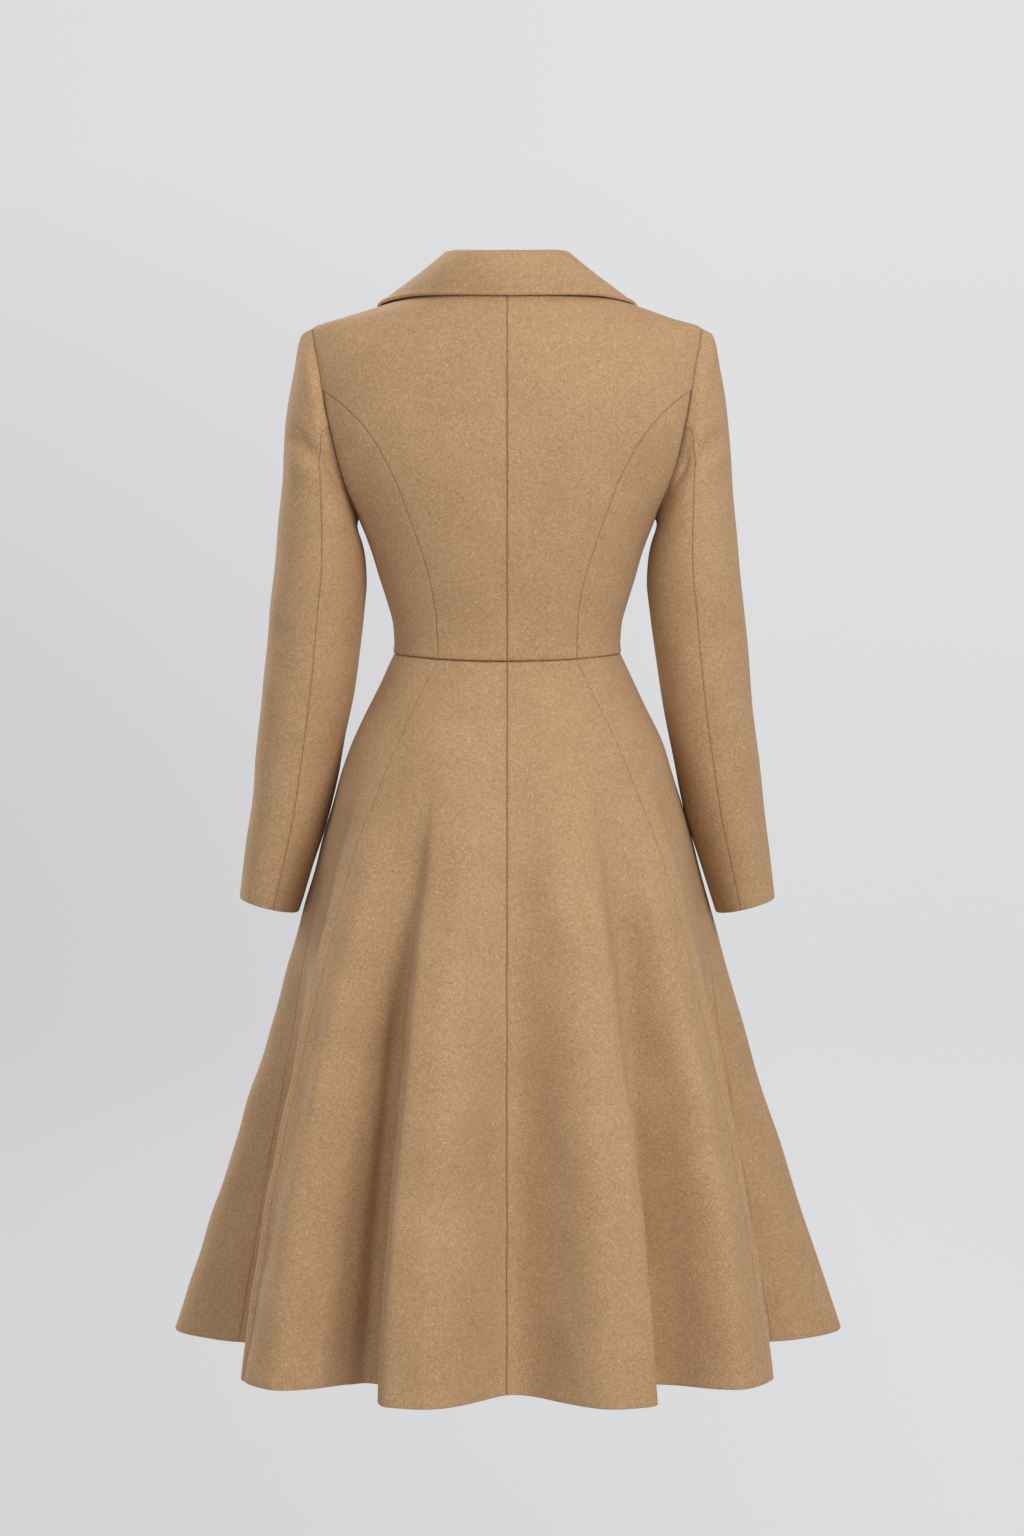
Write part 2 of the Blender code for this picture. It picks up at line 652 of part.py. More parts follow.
def collar(material):
    """One collar from the left front round the nape to the right front."""
    front_steps = neck_stations(True)[::-1][1 : COLLAR_FRONT_STEPS + 1]
    steps = np.concatenate([neck_stations(False), front_steps])
    places = np.linspace(0, len(steps) - 1, COLLAR_SPLITS * (len(steps) - 1) + 1)
    half = np.interp(places, np.arange(len(steps)), steps)
    stations = np.concatenate([-half[:0:-1], half])
    columns = [collar_section(abs(s), LEFT if s >= 0 else RIGHT) for s in stations]
    outer = np.array(columns).transpose(1, 0, 2)
    normals = grid_normals(outer)
    if normals[-1, len(half) - 1, 1] < 0:
        normals = -normals
    add_wall("collar", outer, outer - normals * COLLAR_CLOTH, material)


def add_button(name, place, normal, material):
    """A round dished button, turned about its own axis and seated on the front."""
    profile = (
        (0.0, 0.0),
        (BUTTON_RADIUS - BUTTON_RIM, 0.0),
        (BUTTON_RADIUS, BUTTON_THICK / 2),
        (BUTTON_RADIUS - BUTTON_RIM / 2, BUTTON_THICK),
        (BUTTON_RADIUS - 2 * BUTTON_RIM, BUTTON_THICK - BUTTON_DISH),
        (0.0, BUTTON_THICK - BUTTON_DISH),
    )
    mesh = bpy.data.meshes.new(name)
    shape = bmesh.new()
    verts = [shape.verts.new((radius, 0, height)) for radius, height in profile]
    edges = [shape.edges.new(ends) for ends in zip(verts, verts[1:])]
    bmesh.ops.spin(
        shape,
        geom=verts + edges,
        cent=(0, 0, 0),
        axis=(0, 0, 1),
        angle=2 * math.pi,
        steps=BUTTON_SIDES,
        use_merge=True,
    )
    bmesh.ops.remove_doubles(shape, verts=shape.verts, dist=MERGE_DISTANCE)
    bmesh.ops.recalc_face_normals(shape, faces=shape.faces)
    shape.to_mesh(mesh)
    shape.free()
    mesh.shade_smooth()
    mesh.set_sharp_from_angle(angle=SHARP_ANGLE)
    made = bpy.data.objects.new(name, mesh)
    made.data.materials.append(material)
    made.location = Vector(place)
    made.rotation_mode = "QUATERNION"
    made.rotation_quaternion = Vector(normal).to_track_quat("Z", "Y")
    bpy.context.scene.collection.objects.link(made)


def bulge_under(surface, first, second, normal):
    """How far the cloth round a button's place rises above the flat it is sewn on."""
    place = surface(first, second, RIGHT)
    tiny = 1e-4
    across = np.linalg.norm(surface(first + tiny, second, RIGHT) - place) / tiny
    down = np.linalg.norm(surface(first, second + tiny, RIGHT) - place) / tiny
    turn = np.linspace(0, 2 * math.pi, BUTTON_SIDES)
    around = surface(
        first + BUTTON_RADIUS / across * np.cos(turn),
        second + BUTTON_RADIUS / down * np.sin(turn),
        RIGHT,
    )
    return max(0.0, float(((around - place) @ normal).max()))


def buttons(material):
    """A row of buttons down the centre front, the lowest of them on the skirt."""
    spots = [(torso, height) for height in BODICE_BUTTONS] + [(skirt, SKIRT_BUTTON_SHARE)]
    for number, (surface, second) in enumerate(spots, 1):
        first, second = np.array(math.pi), np.array(second)
        place = surface(first, second, RIGHT)
        normal = facing_out(surface, first, second, RIGHT)
        place = place + normal * (bulge_under(surface, first, second, normal) + BUTTON_LIFT)
        add_button(f"button_{number}", place, normal, material)


def main():
    for old in list(bpy.data.objects):
        bpy.data.objects.remove(old)
    wool = cloth_material("camel_wool", CAMEL, CAMEL_ROUGHNESS)
    horn = cloth_material("dark_horn", HORN, HORN_ROUGHNESS)
    bodice(wool)
    skirt_panels(wool)
    sleeves(wool)
    collar(wool)
    buttons(horn)


main()
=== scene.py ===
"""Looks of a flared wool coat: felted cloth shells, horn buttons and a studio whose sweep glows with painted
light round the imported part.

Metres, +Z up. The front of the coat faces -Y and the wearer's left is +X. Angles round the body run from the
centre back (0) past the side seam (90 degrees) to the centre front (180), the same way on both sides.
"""

import logging
import math
from dataclasses import dataclass
from enum import Enum
from typing import Callable, NamedTuple, Sequence

import bpy
import numpy as np
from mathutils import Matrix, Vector


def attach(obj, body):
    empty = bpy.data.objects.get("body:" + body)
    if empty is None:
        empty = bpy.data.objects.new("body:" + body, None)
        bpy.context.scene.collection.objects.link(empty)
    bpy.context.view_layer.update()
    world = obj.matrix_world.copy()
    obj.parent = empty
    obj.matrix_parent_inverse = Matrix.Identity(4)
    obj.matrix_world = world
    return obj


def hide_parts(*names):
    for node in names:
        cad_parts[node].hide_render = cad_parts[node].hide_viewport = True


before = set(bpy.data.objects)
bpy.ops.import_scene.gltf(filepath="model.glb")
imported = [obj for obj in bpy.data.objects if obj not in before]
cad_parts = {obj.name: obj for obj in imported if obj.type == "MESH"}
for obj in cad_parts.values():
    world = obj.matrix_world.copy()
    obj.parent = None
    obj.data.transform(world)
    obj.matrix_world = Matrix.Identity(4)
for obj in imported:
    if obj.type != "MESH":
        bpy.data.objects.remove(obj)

logging.basicConfig(level=logging.INFO, format="%(name)s: %(message)s")
log = logging.getLogger("coat")

Array = np.ndarray
Curve = Callable[[Array], Array]
Colour = tuple[float, float, float, float]

# Sewing, the same all over the coat
CLOTH = 0.003
COLLAR_CLOTH = 0.0035
NECK_SINK = 0.0015
SEAM_LAP = 0.00006

# Mesh fineness
ROLL_STEPS = np.array([0.0, 0.06, 0.2, 0.42, 0.7, 1.0])
MEASURE = 65
EDGE_SAMPLES = 60
CORNER_SAMPLES = 30
SMALL_ANGLE = 0.002
SMALL_STATION = 0.2
SMALL_STEP = 0.0005
SEAT_STEP = 1e-4
PLACING_ROUNDS = 3
LEAST_PACE = 1e-4
NEARLY_ZERO = 1e-12
AT_SHOULDER = 1e-9

# Where creases die away: round the side of the body, at the centre line and where the fronts lap
FACING_START = 0.1
FACING_SPAN = 0.6
CENTRE_EASE = 0.01
LAP_STILL = 0.03


class Side(Enum):
    """The wearer's left or right, as the sign of X."""

    LEFT = 1
    RIGHT = -1

    @property
    def label(self) -> str:
        """The side's name as the nodes spell it."""
        return self.name.lower()


class Half(Enum):
    """The back or the front of the coat, as the sign of Y."""

    BACK = 1
    FRONT = -1

    @property
    def label(self) -> str:
        """The half's name as the nodes spell it."""
        return self.name.lower()


class SleevePiece(Enum):
    """The two pieces of a sleeve, as the nodes spell them."""

    UPPER = "upper"
    UNDER = "under"


class Hold(Enum):
    """How a piece of cloth is held in its worn form."""

    HUNG = "hung"
    FOLDED = "folded"


class TorsoSection(NamedTuple):
    """A level slice of the bodice: its reach sideways, back and forward, and how square it is."""

    height: float
    half_width: float
    back: float
    front: float
    roundness: float


class SkirtSection(NamedTuple):
    """A level slice of the skirt between its folds, at a share of the way from waist to hem."""

    share: float
    half_width: float
    back: float
    front: float


class Fold(NamedTuple):
    """One flute or hollow of the skirt.

    It has the angle of its crest (positive on the wearer's left), its height at the hem, its flanks away
    from the centre back and towards it, and how much sooner it opens.
    """

    crest: float
    height: float
    outer_width: float
    outer_flatness: float
    inner_width: float
    inner_flatness: float
    early: float


class SleeveSection(NamedTuple):
    """A slanting slice of a sleeve: its outer and inner ends, half depth and middle, front to back."""

    outer_x: float
    outer_z: float
    inner_x: float
    inner_z: float
    half_depth: float
    middle_y: float


class SeamPoint(NamedTuple):
    """A point of a princess seam: its height and its distance from the centre line."""

    height: float
    across: float


class CollarSection(NamedTuple):
    """The collar at a station round the neck: stand, lean, swell of the fall, and its edge on the bodice."""

    station: float
    stand: float
    lean: float
    swell: float
    edge_angle: float
    edge_height: float


class Wave(NamedTuple):
    """A slow wave that keeps the cloth from lying perfectly even, in radians for each metre."""

    along_x: float
    along_y: float
    along_z: float
    start: float


TORSO = (
    TorsoSection(-0.3890, 0.1168, 0.0930, 0.0965, 2.2),
    TorsoSection(-0.3790, 0.1168, 0.0930, 0.0970, 2.2),
    TorsoSection(-0.3515, 0.1184, 0.0950, 0.1030, 2.2),
    TorsoSection(-0.3260, 0.1246, 0.1000, 0.1130, 2.2),
    TorsoSection(-0.3000, 0.1325, 0.1060, 0.1240, 2.2),
    TorsoSection(-0.2745, 0.1398, 0.1105, 0.1320, 2.2),
    TorsoSection(-0.2410, 0.1530, 0.1145, 0.1370, 2.2),
    TorsoSection(-0.2035, 0.1760, 0.1175, 0.1320, 2.2),
    TorsoSection(-0.1675, 0.1920, 0.1185, 0.1200, 2.2),
    TorsoSection(-0.1180, 0.2030, 0.1160, 0.0950, 2.1),
    TorsoSection(-0.0710, 0.2050, 0.1070, 0.0700, 1.85),
    TorsoSection(-0.0445, 0.2005, 0.0980, 0.0560, 1.6),
    TorsoSection(-0.0330, 0.1660, 0.0925, 0.0500, 1.6),
    TorsoSection(-0.0210, 0.1280, 0.0860, 0.0430, 1.65),
    TorsoSection(-0.0100, 0.0950, 0.0780, 0.0360, 1.8),
    TorsoSection(0.0000, 0.0680, 0.0700, 0.0300, 2.0),
)

SKIRT = (
    SkirtSection(0.000, 0.1168, 0.0930, 0.0970),
    SkirtSection(0.066, 0.1395, 0.1180, 0.1150),
    SkirtSection(0.138, 0.1640, 0.1430, 0.1350),
    SkirtSection(0.211, 0.1780, 0.1600, 0.1500),
    SkirtSection(0.290, 0.1890, 0.1750, 0.1650),
    SkirtSection(0.586, 0.2154, 0.2100, 0.2080),
    SkirtSection(0.811, 0.2350, 0.2320, 0.2360),
    SkirtSection(1.000, 0.2500, 0.2480, 0.2560),
)

FOLDS = (
    Fold(0.0, -0.014, 7.0, 2.0, 7.0, 2.0, 1.2),
    Fold(17.0, 0.064, 10.0, 6.0, 12.0, 2.2, 1.5),
    Fold(32.5, -0.022, 5.0, 2.0, 4.6, 2.0, 1.5),
    Fold(51.5, 0.066, 9.6, 5.0, 10.3, 4.0, 1.2),
    Fold(104.0, 0.111, 13.2, 2.8, 13.2, 2.8, 0.0),
    Fold(141.0, 0.070, 12.5, 3.0, 12.5, 3.0, 0.4),
    Fold(-21.0, 0.069, 9.8, 5.0, 10.4, 2.4, 1.3),
    Fold(-36.5, -0.016, 5.0, 2.0, 4.6, 2.0, 1.3),
    Fold(-52.0, 0.066, 9.4, 5.0, 9.8, 4.0, 1.2),
    Fold(-104.5, 0.113, 13.2, 2.8, 13.2, 2.8, 0.0),
    Fold(-139.0, 0.072, 12.5, 3.0, 12.5, 3.0, 0.4),
)

SLEEVE = (
    SleeveSection(0.2000, -0.0445, 0.1530, -0.2410, 0.052, -0.002),
    SleeveSection(0.2115, -0.0521, 0.1550, -0.2475, 0.055, -0.002),
    SleeveSection(0.2185, -0.0830, 0.1535, -0.2550, 0.058, -0.002),
    SleeveSection(0.2260, -0.1220, 0.1510, -0.2620, 0.060, -0.001),
    SleeveSection(0.2308, -0.1741, 0.1485, -0.2710, 0.061, 0.000),
    SleeveSection(0.2343, -0.2262, 0.1462, -0.2850, 0.062, 0.001),
    SleeveSection(0.2386, -0.2784, 0.1450, -0.3060, 0.062, 0.001),
    SleeveSection(0.2450, -0.3305, 0.1482, -0.3380, 0.060, 0.000),
    SleeveSection(0.2500, -0.3827, 0.1540, -0.3850, 0.058, -0.002),
    SleeveSection(0.2555, -0.4348, 0.1618, -0.4360, 0.056, -0.006),
    SleeveSection(0.2615, -0.4869, 0.1725, -0.4890, 0.054, -0.011),
    SleeveSection(0.2675, -0.5391, 0.1845, -0.5425, 0.052, -0.017),
    SleeveSection(0.2745, -0.5912, 0.2020, -0.6000, 0.050, -0.024),
    SleeveSection(0.2805, -0.6365, 0.2190, -0.6520, 0.048, -0.030),
)

PRINCESS = {
    Half.BACK: (
        SeamPoint(-0.379, 0.0702),
        SeamPoint(-0.346, 0.0716),
        SeamPoint(-0.308, 0.0776),
        SeamPoint(-0.269, 0.0885),
        SeamPoint(-0.223, 0.1047),
        SeamPoint(-0.185, 0.1220),
        SeamPoint(-0.152, 0.1420),
        SeamPoint(-0.124, 0.1690),
    ),
    Half.FRONT: (
        SeamPoint(-0.379, 0.0600),
        SeamPoint(-0.325, 0.0720),
        SeamPoint(-0.266, 0.0890),
        SeamPoint(-0.217, 0.1050),
        SeamPoint(-0.177, 0.1230),
        SeamPoint(-0.148, 0.1430),
    ),
}

COLLAR = (
    CollarSection(0.0, 0.0375, 0.0040, 0.003, 0.0, -0.0180),
    CollarSection(45.0, 0.0365, 0.0060, 0.002, 50.0, -0.0168),
    CollarSection(90.0, 0.0325, 0.0095, 0.000, 90.0, -0.0210),
    CollarSection(110.0, 0.0310, 0.0080, 0.008, 141.0, -0.0420),
    CollarSection(130.0, 0.0290, 0.0060, 0.006, 147.0, -0.0720),
    CollarSection(174.0, 0.0210, 0.0040, 0.002, 159.0, -0.1280),
)

UNEVENNESS = (
    Wave(31.0, 18.0, 44.0, 0.4),
    Wave(-52.0, 23.0, 27.0, 2.1),
    Wave(64.0, -37.0, 19.0, 4.4),
    Wave(17.0, 71.0, -58.0, 1.2),
    Wave(-83.0, 12.0, 66.0, 5.3),
)


def smooth_curve(knots: Sequence[float], values: Sequence) -> Curve:
    """Make a smooth function through a table's points that never overshoots them.

    Args:
        knots: Rising positions of the points.
        values: A number or a vector at each position.

    Returns:
        A function of position.
    """
    at_knots = np.asarray(knots, float)
    heights = np.asarray(values, float)
    gaps = np.diff(at_knots)
    steps = gaps.reshape((-1,) + (1,) * (heights.ndim - 1))
    rises = np.diff(heights, axis=0) / steps
    before, after = rises[:-1], rises[1:]
    alike = before * after > 0
    middle = np.where(alike, 2 * before * after / np.where(alike, before + after, 1), 0)
    slopes = np.concatenate([rises[:1], middle, rises[-1:]])

    def curve(at: Array) -> Array:
        """Read the curve.

        Args:
            at: Positions.

        Returns:
            The values there.
        """
        inside = np.clip(np.asarray(at, float), at_knots[0], at_knots[-1])
        i = np.clip(np.searchsorted(at_knots, inside) - 1, 0, len(gaps) - 1)
        part = (inside - at_knots[i]) / gaps[i]
        part = part.reshape(part.shape + (1,) * (heights.ndim - 1))
        start = heights[i] * (1 + 2 * part) + slopes[i] * steps[i] * part
        end = heights[i + 1] * (3 - 2 * part) - slopes[i + 1] * steps[i] * (1 - part)
        return start * (1 - part) ** 2 + end * part**2

    return curve


def columns_of(table: Sequence[NamedTuple]) -> list[Curve]:
    """Make one smooth curve for each column of a table, over its first column.

    Args:
        table: Rows with the position first.

    Returns:
        The curves, in the columns' order.
    """
    columns = list(zip(*table))
    return [smooth_curve(columns[0], column) for column in columns[1:]]


def signed_power(value: Array, power: Array) -> Array:
    """Raise a value's size to a power and keep its sign."""
    return np.sign(value) * np.abs(value) ** power


def smooth_step(value: Array) -> Array:
    """Ease from 0 to 1 over the unit range."""
    inside = np.clip(value, 0.0, 1.0)
    return inside * inside * (3 - 2 * inside)


def bell(away: Array, width: float) -> Array:
    """Give a soft bump of that half width, 1 in its middle."""
    return np.exp(-((away / width) ** 2))


def half_turns(degrees: Array) -> Array:
    """Bring degrees within half a turn of zero."""
    return (degrees + 180) % 360 - 180


def lengths_passed(line: Array) -> Array:
    """Give the length passed at each point of a line."""
    return np.concatenate([[0], np.cumsum(np.linalg.norm(np.diff(line, axis=0), axis=1))])


def unit(vectors: Array) -> Array:
    """Scale vectors to length one."""
    return vectors / np.linalg.norm(vectors, axis=-1, keepdims=True)


def grid_quads(number: Array) -> Array:
    """List the quads of a grid of numbered vertices."""
    corners = (number[:-1, :-1], number[:-1, 1:], number[1:, 1:], number[1:, :-1])
    return np.stack(corners, axis=-1).reshape(-1, 4)


def ring_quads(rings: int, spokes: int) -> Array:
    """List the quads between closed rings of vertices, numbered ring by ring."""
    number = np.arange(rings * spokes).reshape(rings, spokes)
    return grid_quads(np.concatenate([number, number[:, :1]], axis=1))


def pairs(first: Array, second: Array) -> Array:
    """Join two parameters into an array of pairs."""
    return np.stack(np.broadcast_arrays(np.asarray(first, float), np.asarray(second, float)), axis=-1)


@dataclass(frozen=True)
class EdgeRoll:
    """How a panel's edge turns: over which width, how deep outside and inside, and how much painted seam
    shade and painted rim highlight it gets.
    """

    width: float
    depth: float
    under: float
    # How strongly painted shade darkens the groove of a sewn seam.
    seam: float
    # How strongly a painted highlight lightens a turned edge.
    rim: float

    def drops(self) -> Array:
        """Share of the roll at each of its steps, 1 at the very edge."""
        return 1 - np.sqrt(1 - (1 - ROLL_STEPS) ** 2)


def roll_edges(rolls: Sequence[EdgeRoll], shape: tuple[int, int]) -> list[Array]:
    """Work out the rolls' drop outside and inside, and the masks of painted shade along sewn edges and
    painted highlight along free edges.

    Args:
        rolls: How the bottom, top, left and right edges turn.
        shape: Rows and columns.

    Returns:
        Drop outside, rise inside, painted seam shade mask and painted rim highlight mask for each vertex.
    """
    results = [np.zeros(shape) for _ in range(4)]
    bottom, top, left, right = rolls
    for i, step in enumerate(ROLL_STEPS):
        for roll, line in (
            (bottom, np.s_[i, :]),
            (top, np.s_[-1 - i, :]),
            (left, np.s_[:, i]),
            (right, np.s_[:, -1 - i]),
        ):
            drop, near = roll.drops()[i], 1 - step
            values = (roll.depth * drop, roll.under * drop, roll.seam * near, roll.rim * near)
            for result, value in zip(results, values):
                result[line] = np.maximum(result[line], value)
    return results


# seam paints shade into a sewn seam's groove, strongest in the underarm crevice; rim paints a highlight
# along turned edges.
PLAIN = EdgeRoll(width=0.0, depth=0.0, under=0.0, seam=0.0, rim=0.0)
FAINT = EdgeRoll(width=0.0024, depth=0.0006, under=0.0, seam=0.50, rim=0.0)
PRESSED = EdgeRoll(width=0.0024, depth=0.0008, under=0.0, seam=0.62, rim=0.0)
SEWN = EdgeRoll(width=0.0024, depth=0.0010, under=0.0, seam=0.82, rim=0.0)
CREVICE = EdgeRoll(width=0.0060, depth=0.0024, under=0.0, seam=0.95, rim=0.0)
DEEP = EdgeRoll(width=0.0026, depth=0.0012, under=0.0, seam=0.80, rim=0.0)
TURNED = EdgeRoll(width=0.0019, depth=0.0014, under=0.0014, seam=0.0, rim=1.0)
ROLLED = EdgeRoll(width=0.0026, depth=0.0017, under=0.0016, seam=0.0, rim=1.0)
ROLLED_END = EdgeRoll(width=0.0026, depth=0.0017, under=0.0016, seam=0.0, rim=0.0)


@dataclass(frozen=True)
class Crease:
    """A soft trough or ridge along a line drawn on the back or the front, as it is seen from there."""

    half: Half
    path: tuple[tuple[float, float], ...]
    width: float
    depth: float
    fade_in: float = 0.3
    fade_out: float = 0.3
    sides: tuple[Side, ...] = (Side.LEFT, Side.RIGHT)

    def relief(self, points: Array, normals: Array) -> Array:
        """Work out how far the crease moves the cloth.

        Args:
            points: Places on the smooth form.
            normals: Outward directions there.

        Returns:
            Moves along the normals, in metres.
        """
        total = np.zeros(points.shape[:-1])
        turned = smooth_step((normals[..., 1] * self.half.value + FACING_START) / FACING_SPAN)
        for side in self.sides:
            flat = np.stack([points[..., 0] * side.value, points[..., 2]], axis=-1)
            away, share = self.nearest(flat)
            shape = bell(away, self.width)
            if self.fade_in:
                shape = shape * smooth_step(share / self.fade_in)
            if self.fade_out:
                shape = shape * smooth_step((1 - share) / self.fade_out)
            on_side = smooth_step(points[..., 0] * side.value / CENTRE_EASE + 1 / 2)
            total = total + shape * on_side
        return self.depth * total * turned

    def nearest(self, flat: Array) -> tuple[Array, Array]:
        """Measure places against the line.

        Args:
            flat: Places as distances out from the centre line and heights.

        Returns:
            Distance from the line, and share of its length at the nearest point.
        """
        ends = np.asarray(self.path, float)
        lengths = np.linalg.norm(np.diff(ends, axis=0), axis=1)
        passed = lengths_passed(ends)
        best = np.full(flat.shape[:-1], np.inf)
        share = np.zeros(flat.shape[:-1])
        for start, end, length, before in zip(ends, ends[1:], lengths, passed):
            along = np.clip(((flat - start) @ (end - start)) / length**2, 0, 1)
            away = np.linalg.norm(flat - start - along[..., None] * (end - start), axis=-1)
            share = np.where(away < best, (before + along * length) / passed[-1], share)
            best = np.minimum(best, away)
        return best, share


@dataclass(frozen=True)
class Drape:
    """What keeps a part of the coat from lying perfectly smooth: its creases and a slow unevenness."""

    creases: tuple[Crease, ...]
    unevenness: float

    def relief(self, points: Array, normals: Array) -> Array:
        """Add up the creases and the unevenness, which dies away where the fronts lap.

        Args:
            points: Places on the smooth form.
            normals: Outward directions there.

        Returns:
            Moves along the normals, in metres.
        """
        total = np.zeros(points.shape[:-1])
        for wave in UNEVENNESS:
            phase = points @ np.array([wave.along_x, wave.along_y, wave.along_z]) + wave.start
            total = total + np.sin(phase) * self.unevenness / len(UNEVENNESS)
        for crease in self.creases:
            total = total + crease.relief(points, normals)
        clear = smooth_step((np.abs(points[..., 0]) - LAP_STILL) / LAP_STILL)
        lapped = (points[..., 1] < 0) * (1 - clear)
        return total * (1 - lapped)


@dataclass(frozen=True)
class ParamEdge:
    """One edge of a panel, as pairs of its surface's two parameters along a share of its length."""

    knots: Array
    values: Array

    @classmethod
    def along(cls, values: Array, knots: Array | None = None) -> "ParamEdge":
        """Make an edge from its pairs, spread evenly unless their positions are given."""
        return cls(np.linspace(0, 1, len(values)) if knots is None else knots, values)

    def at(self, share: Array) -> Array:
        """Read the edge's pairs at some shares of its length."""
        return np.stack([np.interp(share, self.knots, column) for column in self.values.T], axis=-1)


class Form:
    """A smooth outer form that panels are cut from, as a function of two parameters."""

    def point(self, first: Array, second: Array, side: Side) -> Array:
        """Give places on the form."""
        raise NotImplementedError

    def core(self, first: Array, second: Array, side: Side) -> Array:
        """Give places inside the form that the outside faces away from."""
        return self.point(first, second, side) * np.array([0.0, 0.0, 1.0])

    def small_steps(self) -> tuple[float, float]:
        """Steps of the two parameters over which directions are measured."""
        return SMALL_ANGLE, SMALL_STEP

    def normals(self, first: Array, second: Array, side: Side) -> Array:
        """Work out outward directions.

        Args:
            first: The first parameter.
            second: The second parameter.
            side: The wearer's side.

        Returns:
            Unit vectors that face out of the form.
        """
        small, little = self.small_steps()
        along = self.point(first + small, second, side) - self.point(first - small, second, side)
        down = self.point(first, second + little, side) - self.point(first, second - little, side)
        found = unit(np.cross(along, down))
        outwards = self.point(first, second, side) - self.core(first, second, side)
        return found * np.sign((found * outwards).sum(axis=-1, keepdims=True) + NEARLY_ZERO)


@dataclass
class Panel:
    """A cut piece: the form it lies on, its four edges and how each of them is finished."""

    node: str
    form: Form
    bottom: ParamEdge
    top: ParamEdge
    left: ParamEdge
    right: ParamEdge
    rolls: tuple[EdgeRoll, EdgeRoll, EdgeRoll, EdgeRoll]
    pitch: tuple[float, float]
    corners: tuple[float, ...] = ()
    easing: int = 0

    def grid(self, side: Side) -> Array:
        """Lay out the panel's rows and columns and even them out away from its edges.

        Args:
            side: The wearer's side.

        Returns:
            Pairs of the surface's parameters, one for each vertex.
        """
        laid = self.spread(*self.places(side))
        steps = len(ROLL_STEPS)
        inside = np.s_[steps:-steps, steps:-steps]
        for _ in range(self.easing):
            beside = laid[1:-1, :-2] + laid[1:-1, 2:] + laid[:-2, 1:-1] + laid[2:, 1:-1]
            laid[inside] = beside[steps - 1 : 1 - steps, steps - 1 : 1 - steps] / 4
        return laid

    def spread(self, u: Array, v: Array) -> Array:
        """Spread the surface's parameters between the four edges.

        Args:
            u: Share of the way from the left edge to the right one.
            v: Share of the way from the bottom edge to the top one.

        Returns:
            Pairs of parameters.
        """
        bottom, top, left, right = self.bottom.at(u), self.top.at(u), self.left.at(v), self.right.at(v)
        u, v = u[..., None], v[..., None]
        start = (1 - v) * self.bottom.at(np.zeros(1)) + v * self.top.at(np.zeros(1))
        end = (1 - v) * self.bottom.at(np.ones(1)) + v * self.top.at(np.ones(1))
        corners = (1 - u) * start + u * end
        return (1 - u) * left + u * right + (1 - v) * bottom + v * top - corners

    def places(self, side: Side) -> tuple[Array, Array]:
        """Choose where the panel's rows and columns run, close together beside its edges.

        Args:
            side: The wearer's side.

        Returns:
            Shares across and shares up, one pair for each vertex.
        """
        shares = np.linspace(0, 1, MEASURE)
        across, up = np.meshgrid(shares, shares)
        grid = self.spread(across, up)
        points = self.form.point(grid[..., 0], grid[..., 1], side)
        along_u, along_v = np.diff(points, axis=1), np.diff(points, axis=0)
        columns = self.count(np.linalg.norm(along_u, axis=-1).sum(axis=1).max(), self.pitch[0])
        rows = self.count(np.linalg.norm(along_v, axis=-1).sum(axis=0).max(), self.pitch[1])
        pace_left = self.pace(along_u[:, 0], np.gradient(points[:, 0], axis=0))
        pace_right = self.pace(along_u[:, -1], np.gradient(points[:, -1], axis=0))
        pace_bottom = self.pace(along_v[0], np.gradient(points[0], axis=0))
        pace_top = self.pace(along_v[-1], np.gradient(points[-1], axis=0))
        rolled = 2 * len(ROLL_STEPS)
        v = np.repeat(np.linspace(0, 1, rows + rolled)[:, None], columns + rolled, axis=1)
        u = np.zeros_like(v)
        bottom, top, left, right = self.rolls
        for _ in range(PLACING_ROUNDS):
            near, far = np.interp(v, shares, pace_left), np.interp(v, shares, pace_right)
            u = self.rank(columns, left, right, near, far, axis=1)
            near, far = np.interp(u, shares, pace_bottom), np.interp(u, shares, pace_top)
            v = self.rank(rows, bottom, top, near, far, axis=0)
        return u, self.drawn_to_corners(v)

    def drawn_to_corners(self, v: Array) -> Array:
        """Stretch the rows a little, so that one of them lies on each corner of the edges.

        Args:
            v: Shares up, one for each vertex.

        Returns:
            Shares up with a whole row at each corner's share.
        """
        rows = [0, *(int(np.argmin(np.abs(v.mean(axis=1) - corner))) for corner in self.corners), len(v) - 1]
        marks = [v[0], *(np.full_like(v[0], corner) for corner in self.corners), v[-1]]
        drawn = v.copy()
        for low, high, start, end in zip(rows, rows[1:], marks, marks[1:]):
            share = (v[low : high + 1] - v[low]) / (v[high] - v[low])
            drawn[low : high + 1] = start + share * (end - start)
        return drawn

    @staticmethod
    def count(length: float, pitch: float) -> int:
        """Number of plain rows or columns in a length."""
        return max(2, round(length / pitch))

    @staticmethod
    def pace(step: Array, edge: Array) -> Array:
        """How far from an edge one whole share would lie, measured square to that edge."""
        return np.linalg.norm(np.cross(step, unit(edge)), axis=-1) * (MEASURE - 1) + LEAST_PACE

    @staticmethod
    def rank(count: int, first: EdgeRoll, last: EdgeRoll, near: Array, far: Array, axis: int) -> Array:
        """Place rows or columns: rolled steps at both edges and even ones between.

        Args:
            count: Even ones.
            first: Finish of the edge at 0.
            last: Finish of the edge at 1.
            near: Pace at the first edge for each vertex.
            far: Pace at the last edge for each vertex.
            axis: Which way the rows or columns are numbered.

        Returns:
            Shares, one for each vertex.
        """
        steps = len(ROLL_STEPS)
        number = np.arange(near.shape[axis])
        shape = [1, 1]
        shape[axis] = -1
        middle = np.clip((number - steps + 1) / (count + 1), 0, 1).reshape(shape)
        start = (first.width * ROLL_STEPS[np.clip(number, 0, steps - 1)] - SEAM_LAP).reshape(shape) / near
        back = number[::-1]
        end = 1 - (last.width * ROLL_STEPS[np.clip(back, 0, steps - 1)] - SEAM_LAP).reshape(shape) / far
        return start * (1 - middle) + end * middle

